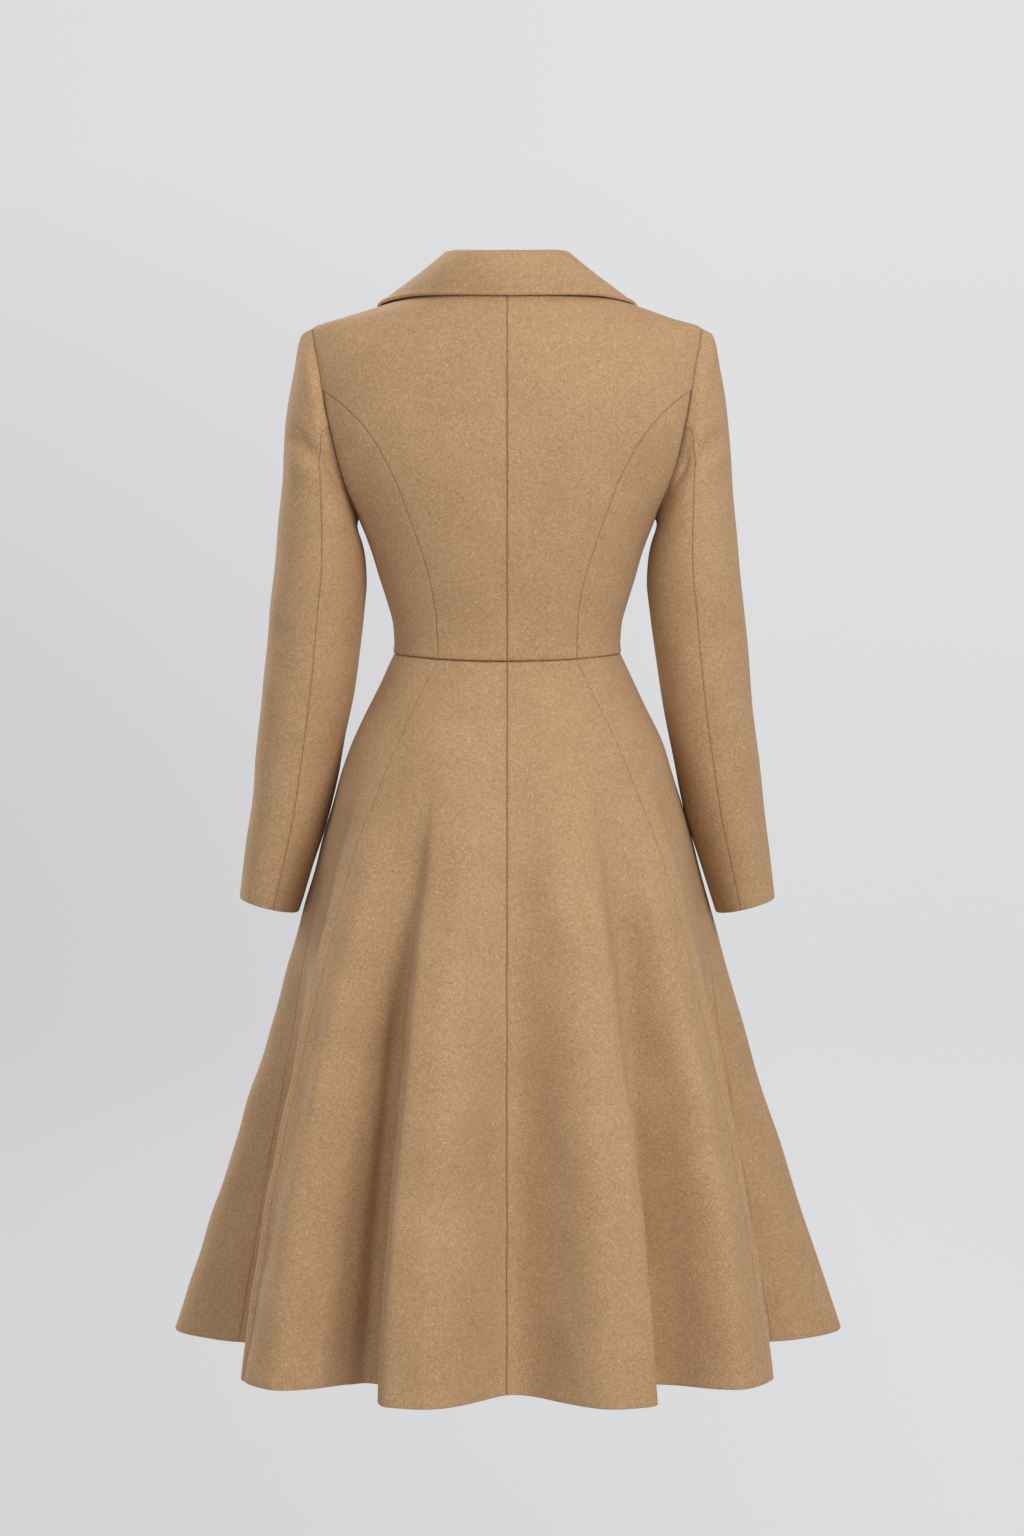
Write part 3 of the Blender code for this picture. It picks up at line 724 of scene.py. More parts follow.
    def cloth(self, points: Array, normals: Array, lift: Array) -> "ShellGrid":
        """Give the panel its thickness and roll its edges.

        Args:
            points: Places on the smooth form.
            normals: Outward directions there.
            lift: How far the cloth lies off the form.

        Returns:
            The cloth's two grids.
        """
        drop, under, seam, rim = roll_edges(self.rolls, points.shape[:2])
        outer = points + normals * (lift - drop)[..., None]
        inner = points + normals * (lift - CLOTH + under)[..., None]
        return ShellGrid(outer, inner, seam, rim)


@dataclass(frozen=True)
class ShellGrid:
    """The outside and inside of a piece of cloth as grids of points, with its masks of painted seam shade
    and painted rim highlight.
    """

    outer: Array
    inner: Array
    seam: Array
    rim: Array

    def faces(self) -> Array:
        """List the quads of the closed shell, facing out.

        Returns:
            Vertex numbers, four for each quad.
        """
        rows, columns = self.outer.shape[:2]
        number = np.arange(rows * columns).reshape(rows, columns)
        inside = rows * columns
        ring = np.concatenate([number[0, :-1], number[:-1, -1], number[-1, :0:-1], number[:0:-1, 0]])
        following = np.roll(ring, -1)
        edge = np.stack([following, ring, ring + inside, following + inside], axis=-1)
        listed = np.concatenate([grid_quads(number), grid_quads(number)[:, (0, 3, 2, 1)] + inside, edge])
        middle = (rows // 2, columns // 2)
        across = self.outer[middle[0], middle[1] + 1] - self.outer[middle]
        up = self.outer[middle[0] + 1, middle[1]] - self.outer[middle]
        facing = np.cross(across, up) @ (self.outer[middle] - self.inner[middle])
        return listed if facing > 0 else listed[:, ::-1]

    def vertices(self) -> Array:
        """List the vertices, the outside first."""
        return np.concatenate([self.outer.reshape(-1, 3), self.inner.reshape(-1, 3)])

    def masks(self) -> dict[str, Array]:
        """List the painted seam shade and painted rim highlight masks for the vertices, the same outside and
        inside.
        """
        return {name: np.tile(mask.ravel(), 2) for name, mask in (("seam", self.seam), ("rim", self.rim))}


def add_mesh(name: str, vertices: Array, faces: Array, material: bpy.types.Material) -> bpy.types.Object:
    """Make a smooth mesh object.

    Args:
        name: The piece's name.
        vertices: Places, three numbers each.
        faces: Vertex numbers, the same count for each face.
        material: Its finish.

    Returns:
        The new object, in the scene.
    """
    mesh = bpy.data.meshes.new(name)
    sides = faces.shape[1]
    mesh.vertices.add(len(vertices))
    mesh.vertices.foreach_set("co", np.ascontiguousarray(vertices, np.float32).ravel())
    mesh.loops.add(faces.size)
    mesh.loops.foreach_set("vertex_index", np.ascontiguousarray(faces, np.int32).ravel())
    mesh.polygons.add(len(faces))
    mesh.polygons.foreach_set("loop_start", np.arange(0, faces.size, sides, dtype=np.int32))
    mesh.update(calc_edges=True)
    mesh.validate()
    mesh.shade_smooth()
    mesh.materials.append(material)
    made = bpy.data.objects.new(name, mesh)
    bpy.context.scene.collection.objects.link(made)
    return made


def add_cloth(
    node: str,
    shell: ShellGrid,
    material: bpy.types.Material,
) -> None:
    """Make a piece of cloth that stands for its solid.

    Args:
        node: The solid's node.
        shell: The cloth's two grids.
        material: Its finish.
    """
    piece = add_mesh(f"cloth_{node}", shell.vertices(), shell.faces(), material)
    # Store the masks of painted seam shade and painted rim highlight on the mesh.
    for name, mask in shell.masks().items():
        layer = piece.data.attributes.new(name, "FLOAT", "POINT")
        layer.data.foreach_set("value", mask.astype(np.float32))
    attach(piece, "root")
    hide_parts(node)


class Fibres(NamedTuple):
    """One kind of fibre in a finish: how fine it is, how rich in detail and how much it curls."""

    scale: float
    detail: float
    curl: float


COLOUR, NUMBER, VECTOR = "NodeSocketColor", "NodeSocketFloat", "NodeSocketVector"
PATCHES = Fibres(14.0, 3.0, 0.6)
TUFTS = Fibres(420.0, 3.0, 1.6)
HAIRS = Fibres(1300.0, 2.0, 0.8)
FLECKS = Fibres(400.0, 1.0, 2.4)
FLECK_SPAN = (0.61, 0.72)
FIBRE_ROUGHNESS = 0.6
MIDDLE_TONE = 0.5
TUFT_HEIGHT = 0.65
HAIR_HEIGHT = 0.35
SEAM_SHADE_SHARPNESS = 1.8


class Graph:
    """A short way to lay out shader nodes."""

    def __init__(self, tree: bpy.types.NodeTree) -> None:
        """Work on one node tree."""
        self.tree = tree

    def add(self, kind: str, **values: object) -> bpy.types.Node:
        """Add a node.

        Args:
            kind: The node's type.
            values: Its settings, and its inputs' values or the sockets linked to them, by name.

        Returns:
            The node.
        """
        node = self.tree.nodes.new(kind)
        settings = {name: value for name, value in values.items() if hasattr(node, name)}
        for name, value in settings.items():
            setattr(node, name, value)
        for name, value in values.items():
            if name not in settings:
                self.feed(self.socket(node, name), value)
        return node

    def feed(self, socket: bpy.types.NodeSocket, value: object) -> None:
        """Link a socket to another one, or set its value."""
        if isinstance(value, bpy.types.NodeSocket):
            self.tree.links.new(value, socket)
        else:
            socket.default_value = value

    @staticmethod
    def socket(node: bpy.types.Node, name: str) -> bpy.types.NodeSocket:
        """Find an open input by its name, with underscores for spaces."""
        wanted = name.replace("_", " ").lower()
        return next(s for s in node.inputs if s.enabled and s.name.lower() == wanted)

    def math(self, operation: str, first: object, second: object) -> bpy.types.NodeSocket:
        """Join two numbers with a Math node.

        Args:
            operation: What the node does.
            first: A number or a socket.
            second: A number or a socket.

        Returns:
            The result's socket.
        """
        node = self.add("ShaderNodeMath", operation=operation)
        self.feed(node.inputs[0], first)
        self.feed(node.inputs[1], second)
        return node.outputs[0]

    def noise(self, where: object, fibres: Fibres) -> bpy.types.NodeSocket:
        """Add a noise texture of that fineness and give its value, centred on one half."""
        node = self.add(
            "ShaderNodeTexNoise",
            Vector=where,
            Scale=fibres.scale,
            Detail=fibres.detail,
            Roughness=FIBRE_ROUGHNESS,
            Distortion=fibres.curl,
        )
        return node.outputs["Fac"]

    def span(self, value: object, low: float, high: float, start: float, end: float) -> bpy.types.NodeSocket:
        """Stretch a range of a number to another range, and hold it there."""
        node = self.add(
            "ShaderNodeMapRange", Value=value, From_Min=low, From_Max=high, To_Min=start, To_Max=end
        )
        return node.outputs[0]

    def blend(self, share: object, first: object, second: object, mode: str = "MIX") -> bpy.types.NodeSocket:
        """Mix two colours by a share."""
        node = self.add("ShaderNodeMix", data_type="RGBA", blend_type=mode, Factor=share, A=first, B=second)
        return node.outputs["Result"]


def new_group(name: str, inputs: dict[str, str], outputs: dict[str, str]) -> tuple[Graph, object, object]:
    """Start a shader node group with named sockets.

    Args:
        name: The group's name.
        inputs: Socket types by name.
        outputs: Socket types by name.

    Returns:
        Its graph, and its input and output nodes.
    """
    tree = bpy.data.node_groups.new(name, "ShaderNodeTree")
    for in_out, sockets in (("INPUT", inputs), ("OUTPUT", outputs)):
        for label, kind in sockets.items():
            tree.interface.new_socket(label, in_out=in_out, socket_type=kind)
    graph = Graph(tree)
    return graph, graph.add("NodeGroupInput"), graph.add("NodeGroupOutput")


def fibre_mottle_group() -> bpy.types.NodeTree:
    """Build the tone of felted fibres: soft patches, curled tufts, fine hairs and pale flecks.

    Returns:
        The node group.
    """
    graph, given, result = new_group(
        "fibre_mottle",
        {
            "Position": VECTOR,
            "Dark": COLOUR,
            "Middle": COLOUR,
            "Pale": COLOUR,
            "Patches": NUMBER,
            "Tufts": NUMBER,
            "Hairs": NUMBER,
            "Flecks": NUMBER,
        },
        {"Color": COLOUR, "Height": NUMBER},
    )
    where = given.outputs["Position"]
    dark, middle, pale = (given.outputs[label] for label in ("Dark", "Middle", "Pale"))
    patches, tufts, hairs = (graph.noise(where, fibres) for fibres in (PATCHES, TUFTS, HAIRS))
    tone = MIDDLE_TONE
    for noise, amount in ((patches, "Patches"), (tufts, "Tufts"), (hairs, "Hairs")):
        swing = graph.math("SUBTRACT", noise, MIDDLE_TONE)
        tone = graph.math("ADD", graph.math("MULTIPLY", swing, given.outputs[amount]), tone)
    low = graph.blend(graph.span(tone, 0.0, MIDDLE_TONE, 0.0, 1.0), dark, middle)
    colour = graph.blend(graph.span(tone, MIDDLE_TONE, 1.0, 0.0, 1.0), low, pale)
    flecks = graph.span(graph.noise(where, FLECKS), *FLECK_SPAN, 0.0, 1.0)
    flecked = graph.blend(graph.math("MULTIPLY", flecks, given.outputs["Flecks"]), colour, pale)
    graph.feed(result.inputs["Color"], flecked)
    high_tufts = graph.math("MULTIPLY", tufts, TUFT_HEIGHT)
    high_hairs = graph.math("MULTIPLY", hairs, HAIR_HEIGHT)
    graph.feed(result.inputs["Height"], graph.math("ADD", high_tufts, high_hairs))
    return graph.tree


def painted_edge_light_group() -> bpy.types.NodeTree:
    """Build the painted light along edges: painted shade darkening sewn seams, a painted highlight
    lightening turned edges.

    Returns:
        The node group.
    """
    graph, given, result = new_group(
        "edge_shade_and_highlight",
        {"Color": COLOUR, "Seam": NUMBER, "Rim": NUMBER, "Seam Shade Tone": COLOUR, "Rim Highlight Tone": COLOUR},
        {"Color": COLOUR},
    )
    # Painted shade in the seam's groove, then a painted highlight on the turned edge.
    seam = graph.math("POWER", given.outputs["Seam"], SEAM_SHADE_SHARPNESS)
    sewn = graph.blend(seam, given.outputs["Color"], given.outputs["Seam Shade Tone"], "MULTIPLY")
    toned = graph.blend(given.outputs["Rim"], sewn, given.outputs["Rim Highlight Tone"], "MULTIPLY")
    graph.feed(result.inputs["Color"], toned)
    return graph.tree


@dataclass(frozen=True)
class NodeGroups:
    """The node groups that the finishes share."""

    mottle: bpy.types.NodeTree
    # Painted seam shade and painted rim highlight.
    edge: bpy.types.NodeTree


@dataclass(frozen=True)
class MottledFinish:
    """What the finishes share: three tones, and how strongly each kind of fibre shows in them."""

    name: str
    dark: Colour
    middle: Colour
    pale: Colour
    patches: float
    tufts: float
    hairs: float
    flecks: float

    def start(self) -> tuple[bpy.types.Material, Graph, bpy.types.Node]:
        """Make a new material.

        Returns:
            The material, its graph and its shader.
        """
        made = bpy.data.materials.new(self.name)
        made.use_nodes = True
        return made, Graph(made.node_tree), made.node_tree.nodes["Principled BSDF"]

    def mottle(self, graph: Graph, groups: NodeGroups, where: bpy.types.NodeSocket) -> bpy.types.Node:
        """Place the fibre mottle with the finish's own values.

        Args:
            graph: The material's graph.
            groups: The shared node groups.
            where: The position that the fibres follow.

        Returns:
            The group's node.
        """
        placed = graph.add("ShaderNodeGroup", node_tree=groups.mottle)
        graph.feed(placed.inputs["Position"], where)
        for label in ("Dark", "Middle", "Pale", "Patches", "Tufts", "Hairs", "Flecks"):
            graph.feed(placed.inputs[label], getattr(self, label.lower()))
        return placed


@dataclass(frozen=True)
class WoolFinish(MottledFinish):
    """Felted camel wool with a short nap."""

    dark: Colour = (0.222, 0.122, 0.053, 1.0)
    middle: Colour = (0.438, 0.264, 0.135, 1.0)
    pale: Colour = (0.700, 0.490, 0.305, 1.0)
    patches: float = 0.20
    tufts: float = 1.05
    hairs: float = 0.95
    flecks: float = 0.62
    # Painted shade multiplied into sewn seams and crevices.
    seam_shade_tone: Colour = (0.42, 0.37, 0.33, 1.0)
    # Painted highlight multiplied onto turned edges.
    rim_highlight_tone: Colour = (1.10, 1.10, 1.10, 1.0)
    roughness: float = 0.86
    specular: float = 0.25
    sheen: float = 0.13
    sheen_roughness: float = 0.45
    sheen_tint: Colour = (1.0, 0.86, 0.70, 1.0)
    nap_depth: float = 0.0011
    nap_strength: float = 0.45

    def material(self, groups: NodeGroups) -> bpy.types.Material:
        """Build the material.

        Args:
            groups: The shared node groups.

        Returns:
            The material.
        """
        made, graph, shader = self.start()
        mottle = self.mottle(graph, groups, graph.add("ShaderNodeTexCoord").outputs["Object"])
        edge = graph.add("ShaderNodeGroup", node_tree=groups.edge)
        # The seam mask paints shade into seams, the rim mask paints a highlight on turned edges.
        for label, value in (
            ("Color", mottle.outputs["Color"]),
            ("Seam", graph.add("ShaderNodeAttribute", attribute_name="seam").outputs["Fac"]),
            ("Rim", graph.add("ShaderNodeAttribute", attribute_name="rim").outputs["Fac"]),
            ("Seam Shade Tone", self.seam_shade_tone),
            ("Rim Highlight Tone", self.rim_highlight_tone),
        ):
            graph.feed(edge.inputs[label], value)
        bump = graph.add(
            "ShaderNodeBump",
            Height=mottle.outputs["Height"],
            Strength=self.nap_strength,
            Distance=self.nap_depth,
        )
        graph.feed(shader.inputs["Base Color"], edge.outputs["Color"])
        graph.feed(shader.inputs["Normal"], bump.outputs["Normal"])
        shader.inputs["Roughness"].default_value = self.roughness
        shader.inputs["Specular IOR Level"].default_value = self.specular
        shader.inputs["Sheen Weight"].default_value = self.sheen
        shader.inputs["Sheen Roughness"].default_value = self.sheen_roughness
        shader.inputs["Sheen Tint"].default_value = self.sheen_tint
        return made


@dataclass(frozen=True)
class HornFinish(MottledFinish):
    """Polished dark horn with drawn-out streaks."""

    dark: Colour = (0.022, 0.011, 0.006, 1.0)
    middle: Colour = (0.060, 0.031, 0.016, 1.0)
    pale: Colour = (0.190, 0.105, 0.050, 1.0)
    patches: float = 1.6
    tufts: float = 1.5
    hairs: float = 0.3
    flecks: float = 0.0
    stretch: tuple[float, float, float] = (0.3, 1.0, 2.2)
    streak_span: tuple[float, float] = (0.3, 0.7)
    roughness_span: tuple[float, float] = (0.26, 0.40)
    coat: float = 0.25

    def material(self, groups: NodeGroups) -> bpy.types.Material:
        """Build the material.

        Args:
            groups: The shared node groups.

        Returns:
            The material.
        """
        made, graph, shader = self.start()
        where = graph.add("ShaderNodeTexCoord").outputs["Object"]
        drawn = graph.add("ShaderNodeMapping", Vector=where, Scale=self.stretch)
        mottle = self.mottle(graph, groups, drawn.outputs["Vector"])
        rough = graph.span(mottle.outputs["Height"], *self.streak_span, *self.roughness_span)
        graph.feed(shader.inputs["Base Color"], mottle.outputs["Color"])
        graph.feed(shader.inputs["Roughness"], rough)
        shader.inputs["Coat Weight"].default_value = self.coat
        return made


class BodiceForm(Form):
    """The fitted upper half of the coat: first parameter an angle in radians, second a height."""

    def __init__(self, bodice: "Bodice") -> None:
        """Read the sections' columns."""
        self.sizes = bodice
        self.width, self.back, self.front, self.roundness = columns_of(TORSO)

    def slice(self, angle: Array, height: Array) -> tuple[Array, Array]:
        """Cut a level slice.

        Args:
            angle: Angles round the body.
            height: Heights.

        Returns:
            Distances across and towards the back.
        """
        depth = np.where(np.cos(angle) >= 0, self.back(height), self.front(height))
        power = 2 / self.roundness(height)
        across = self.width(height) * signed_power(np.sin(angle), power)
        return across, depth * signed_power(np.cos(angle), power)

    def point(self, angle: Array, height: Array, side: Side) -> Array:
        """Give places on the bodice, softened up and down except along the shoulder and side seams.

        Args:
            angle: Angles round the body.
            height: Heights.
            side: The wearer's side.

        Returns:
            Places.
        """
        sizes = self.sizes
        hold = 1 - np.sin(angle) ** sizes.side_seam_hold
        soft = sizes.shoulder_softness * hold * np.clip(height / sizes.shoulder_tip, 0, 1)
        x, y = self.slice(angle, height)
        for level in (height - soft, height + soft):
            x_near, y_near = self.slice(angle, level)
            x, y = x + x_near / 2, y + y_near / 2
        return np.stack([side.value * x / 2, y / 2, height + 0 * x], axis=-1)

    def angle_at(self, height: Array, across: Array, half: Half) -> Array:
        """Find the angle at which the bodice lies that far from its centre line.

        Args:
            height: Heights.
            across: Distances from the centre line.
            half: Back or front.

        Returns:
            Angles.
        """
        share = np.clip(np.abs(across) / self.width(height), 0, 1)
        angle = np.sign(across) * np.arcsin(share ** (self.roundness(height) / 2))
        return math.pi - angle if half is Half.FRONT else angle


@dataclass
class Bodice:
    """Eight panels joined by princess seams, from the waist to the shoulders and the neck."""

    waist: float = -0.379
    waist_dip: float = 0.005
    shoulder_tip: float = -0.0445
    armpit: float = -0.241
    neck_half_width: float = 0.068
    back_neck_drop: float = 0.005
    front_neck_drop: float = 0.072
    shoulder_softness: float = 0.022
    side_seam_hold: int = 6
    lap: float = 0.022
    lap_under: float = 0.040
    lap_ease: float = 0.020
    lap_clearance: float = 0.0011
    armhole_back_cut: float = 24.0
    armhole_front_cut: float = 29.0
    back_seam_station: float = 70.0
    front_seam_station: float = 80.0
    waist_ledge: float = 0.0012
    ledge_height: float = 0.007
    centre_easing: int = 400
    pitch: tuple[float, float] = (0.0040, 0.0044)
    drape: Drape = Drape(
        creases=(
            Crease(Half.BACK, ((0.105, -0.352), (0.084, -0.336), (0.060, -0.330)), 0.009, -0.0010),
            Crease(Half.BACK, ((0.112, -0.310), (0.095, -0.292), (0.072, -0.286)), 0.010, -0.0008),
            Crease(Half.BACK, ((0.168, -0.150), (0.150, -0.178), (0.140, -0.215)), 0.012, -0.0012),
            Crease(Half.FRONT, ((0.108, -0.350), (0.086, -0.330), (0.058, -0.322)), 0.009, -0.0012),
            Crease(Half.FRONT, ((0.150, -0.120), (0.128, -0.150), (0.118, -0.185)), 0.013, -0.0016),
        ),
        unevenness=0.0010,
    )

    def __post_init__(self) -> None:
        """Make the form that the panels are cut from."""
        self.form = BodiceForm(self)

    def waist_height(self, angle: Array) -> Array:
        """Height of the waist seam, which dips a little towards the centre back."""
        return self.waist - self.waist_dip * np.maximum(np.cos(angle), 0) ** 2

    def armhole(self, station: Array) -> tuple[Array, Array]:
        """Trace the armhole's edge.

        Args:
            station: Degrees round it, 0 at the shoulder tip, 90 at the back and 180 at the armpit.

        Returns:
            Angles and heights.
        """
        turn = np.radians(station)
        cut = np.where(np.sin(turn) >= 0, self.armhole_back_cut, self.armhole_front_cut)
        angle = np.radians(90 - cut * np.sin(turn))
        middle, reach = (self.shoulder_tip + self.armpit) / 2, (self.shoulder_tip - self.armpit) / 2
        return angle, middle + reach * np.cos(turn)

    def neckline(self, station: Array) -> tuple[Array, Array]:
        """Trace the neck seam.

        Args:
            station: Degrees round it, 0 at the nape and 180 at the throat.

        Returns:
            Angles and heights.
        """
        turn = np.radians(np.asarray(station, float))
        front = np.cos(turn) < 0
        drop = np.where(
            front, self.front_neck_drop * np.abs(np.cos(turn)), self.back_neck_drop * np.cos(turn) ** 2
        )
        across = self.neck_half_width * np.sin(turn)
        back_angle = self.form.angle_at(-drop, across, Half.BACK)
        angle = np.where(front, math.pi - back_angle, back_angle)
        return np.where(np.abs(np.cos(turn)) < AT_SHOULDER, math.pi / 2, angle), -drop

    def last_neck_station(self) -> float:
        """Station of the front edge at the neck, past the throat by the lap."""
        return 180 + math.degrees(math.asin(self.lap / self.neck_half_width))

    def seam_station(self, half: Half) -> float:
        """Where a princess seam runs into the armhole, with its sign."""
        return self.back_seam_station if half is Half.BACK else -self.front_seam_station

    def princess(self, half: Half) -> Array:
        """Trace a princess seam from the waist up to the armhole.

        Args:
            half: Back or front.

        Returns:
            Pairs of angle and height.
        """
        table = PRINCESS[half]
        angle_up, height_up = self.armhole(self.seam_station(half))
        end = SeamPoint(float(height_up), float(self.form.point(angle_up, height_up, Side.LEFT)[0]))
        rows = [*table, end]
        across = smooth_curve([row.height for row in rows], [row.across for row in rows])
        low = self.waist_height(self.form.angle_at(self.waist, table[0].across, half))
        heights = np.linspace(low, height_up, EDGE_SAMPLES)
        line = pairs(self.form.angle_at(heights, across(heights), half), heights)
        line[-1, 0] = angle_up
        return line

    def waist_edge(self, first: float, last: float) -> ParamEdge:
        """Trace the waist seam between two angles."""
        angles = np.linspace(first, last, EDGE_SAMPLES)
        return ParamEdge.along(pairs(angles, self.waist_height(angles)))

    def centre_panel(self, half: Half, side: Side) -> Panel:
        """Cut a centre back or a centre front panel.

        Args:
            half: Back or front.
            side: The wearer's side.

        Returns:
            The panel.
        """
        stations = np.linspace(self.seam_station(half), 0, CORNER_SAMPLES)[1:]
        shoulder = np.linspace(self.shoulder_tip, 0, CORNER_SAMPLES)[1:]
        parts = (self.princess(half), pairs(*self.armhole(stations)), pairs(math.pi / 2, shoulder))
        line = np.concatenate(parts)
        points = self.form.point(line[:, 0], line[:, 1], Side.LEFT)
        passed = lengths_passed(points)
        knots = passed / passed[-1]
        first = 0.0 if half is Half.BACK else self.last_neck_station()
        top = pairs(*self.neckline(np.linspace(first, 90, EDGE_SAMPLES)))
        low = self.waist - self.waist_dip if half is Half.BACK else self.waist
        share = (line[:, 1] - line[0, 1]) / (line[-1, 1] - line[0, 1])
        heights = low + share * (top[0, 1] - low)
        middle = 0.0 if half is Half.BACK else self.form.angle_at(heights, -self.lap, half)
        left = pairs(middle, heights)
        inner_edge = SEWN if half is Half.BACK else TURNED
        return Panel(
            node=f"bodice_{half.label}_centre_{side.label}",
            form=self.form,
            bottom=self.waist_edge(left[0, 0], line[0, 0]),
            top=ParamEdge.along(top),
            left=ParamEdge.along(left, knots),
            right=ParamEdge.along(line, knots),
            rolls=(DEEP, SEWN, inner_edge, PRESSED),
            pitch=self.pitch,
            corners=(knots[EDGE_SAMPLES - 1], knots[EDGE_SAMPLES + CORNER_SAMPLES - 2]),
            easing=self.centre_easing,
        )

    def side_panel(self, half: Half, side: Side) -> Panel:
        """Cut a side back or a side front panel, from its princess seam to the side seam.

        Args:
            half: Back or front.
            side: The wearer's side.

        Returns:
            The panel.
        """
        seam = self.princess(half)
        stations = np.linspace(self.seam_station(half), 180 * half.value, EDGE_SAMPLES)
        under = pairs(math.pi / 2, np.linspace(self.waist, self.armpit, EDGE_SAMPLES))
        return Panel(
            node=f"bodice_{half.label}_side_{side.label}",
            form=self.form,
            bottom=self.waist_edge(seam[0, 0], math.pi / 2),
            top=ParamEdge.along(pairs(*self.armhole(stations))),
            left=ParamEdge.along(seam),
            right=ParamEdge.along(under),
            rolls=(DEEP, CREVICE, PRESSED, PRESSED),
            pitch=self.pitch,
        )

    def lap_dip(self, points: Array, side: Side) -> Array:
        """How far the left front sinks to pass under the right one, near the centre front.

        Args:
            points: Places on the smooth form.
            side: The wearer's side.

        Returns:
            A depth at each place.
        """
        if side is Side.RIGHT:
            return np.zeros(points.shape[:-1])
        share = (self.lap_under + self.lap_ease - points[..., 0]) / self.lap_ease
        return np.where(points[..., 1] < 0, (CLOTH + self.lap_clearance) * smooth_step(share), 0.0)

    def ledge(self, points: Array) -> Array:
        """How far the bodice stands proud just above the waist seam."""
        return self.waist_ledge * bell(points[..., 2] - self.waist, self.ledge_height)

    def shell(self, panel: Panel, drape: Drape, side: Side, ledge: float) -> ShellGrid:
        """Turn a panel of the bodice or the skirt into cloth.

        Args:
            panel: The cut piece.
            drape: Its creases.
            side: The wearer's side.
            ledge: How much of the waist ledge it has.

        Returns:
            The cloth's two grids.
        """
        grid = panel.grid(side)
        points = panel.form.point(grid[..., 0], grid[..., 1], side)
        normals = panel.form.normals(grid[..., 0], grid[..., 1], side)
        lift = drape.relief(points, normals) - self.lap_dip(points, side) + ledge * self.ledge(points)
        return panel.cloth(points, normals, lift)

    def build(self, material: bpy.types.Material) -> None:
        """Make the eight panels.

        Args:
            material: Their finish.
        """
        for half in Half:
            for side in Side:
                centre, beside = self.centre_panel(half, side), self.side_panel(half, side)
                for panel, holder in ((centre, "collar"), (beside, centre.node)):
                    shell = self.shell(panel, self.drape, side, ledge=1.0)
                    add_cloth(panel.node, shell, material)


class SkirtForm(Form):
    """The flared lower half: first parameter an angle in radians, second a share from waist to hem."""

    def __init__(self, skirt: "Skirt") -> None:
        """Read the sections' columns."""
        self.sizes = skirt
        self.width, self.back, self.front = columns_of(SKIRT)

    def ring_angle(self, angle: Array) -> Array:
        """Give the bodice's own angle at the waist for a true angle round the skirt.

        Args:
            angle: True angles in radians.

        Returns:
            The bodice's angles.
        """
        power = self.sizes.roundness / 2
        depth = np.where(np.cos(angle) >= 0, self.back(0.0), self.front(0.0))
        across = signed_power(np.sin(angle) / self.width(0.0), power)
        return np.arctan2(across, signed_power(np.cos(angle) / depth, power))

    def point(self, angle: Array, share: Array, side: Side) -> Array:
        """Give places on the skirt, its folds growing from the hip to the hem.

        Args:
            angle: Angles round the body.
            share: Shares of the way from waist to hem.
            side: The wearer's side.

        Returns:
            Places.
        """
        sizes = self.sizes
        depth = np.where(np.cos(angle) >= 0, self.back(share), self.front(share))
        across = np.abs(np.sin(angle)) / self.width(share)
        along = np.abs(np.cos(angle)) / depth
        radius = (across**sizes.roundness + along**sizes.roundness) ** (-1 / sizes.roundness)
        below = np.clip((share - sizes.fold_start) / (1 - sizes.fold_start), 0, 1)
        turn = side.value * np.degrees(angle)
        for fold in FOLDS:
            away = half_turns(turn - fold.crest)
            outer = away * fold.crest >= 0
            width = np.where(outer, fold.outer_width, fold.inner_width)
            flatness = np.where(outer, fold.outer_flatness, fold.inner_flatness)
            growth = below**sizes.fold_growth * (1 + fold.early * (1 - below))
            radius = radius + fold.height * growth * np.exp(-((np.abs(away) / width) ** flatness))
        top = sizes.bodice.waist_height(self.ring_angle(angle))
        height = top + share * (sizes.hem - top)
        return np.stack([side.value * radius * np.sin(angle), radius * np.cos(angle), height], axis=-1)


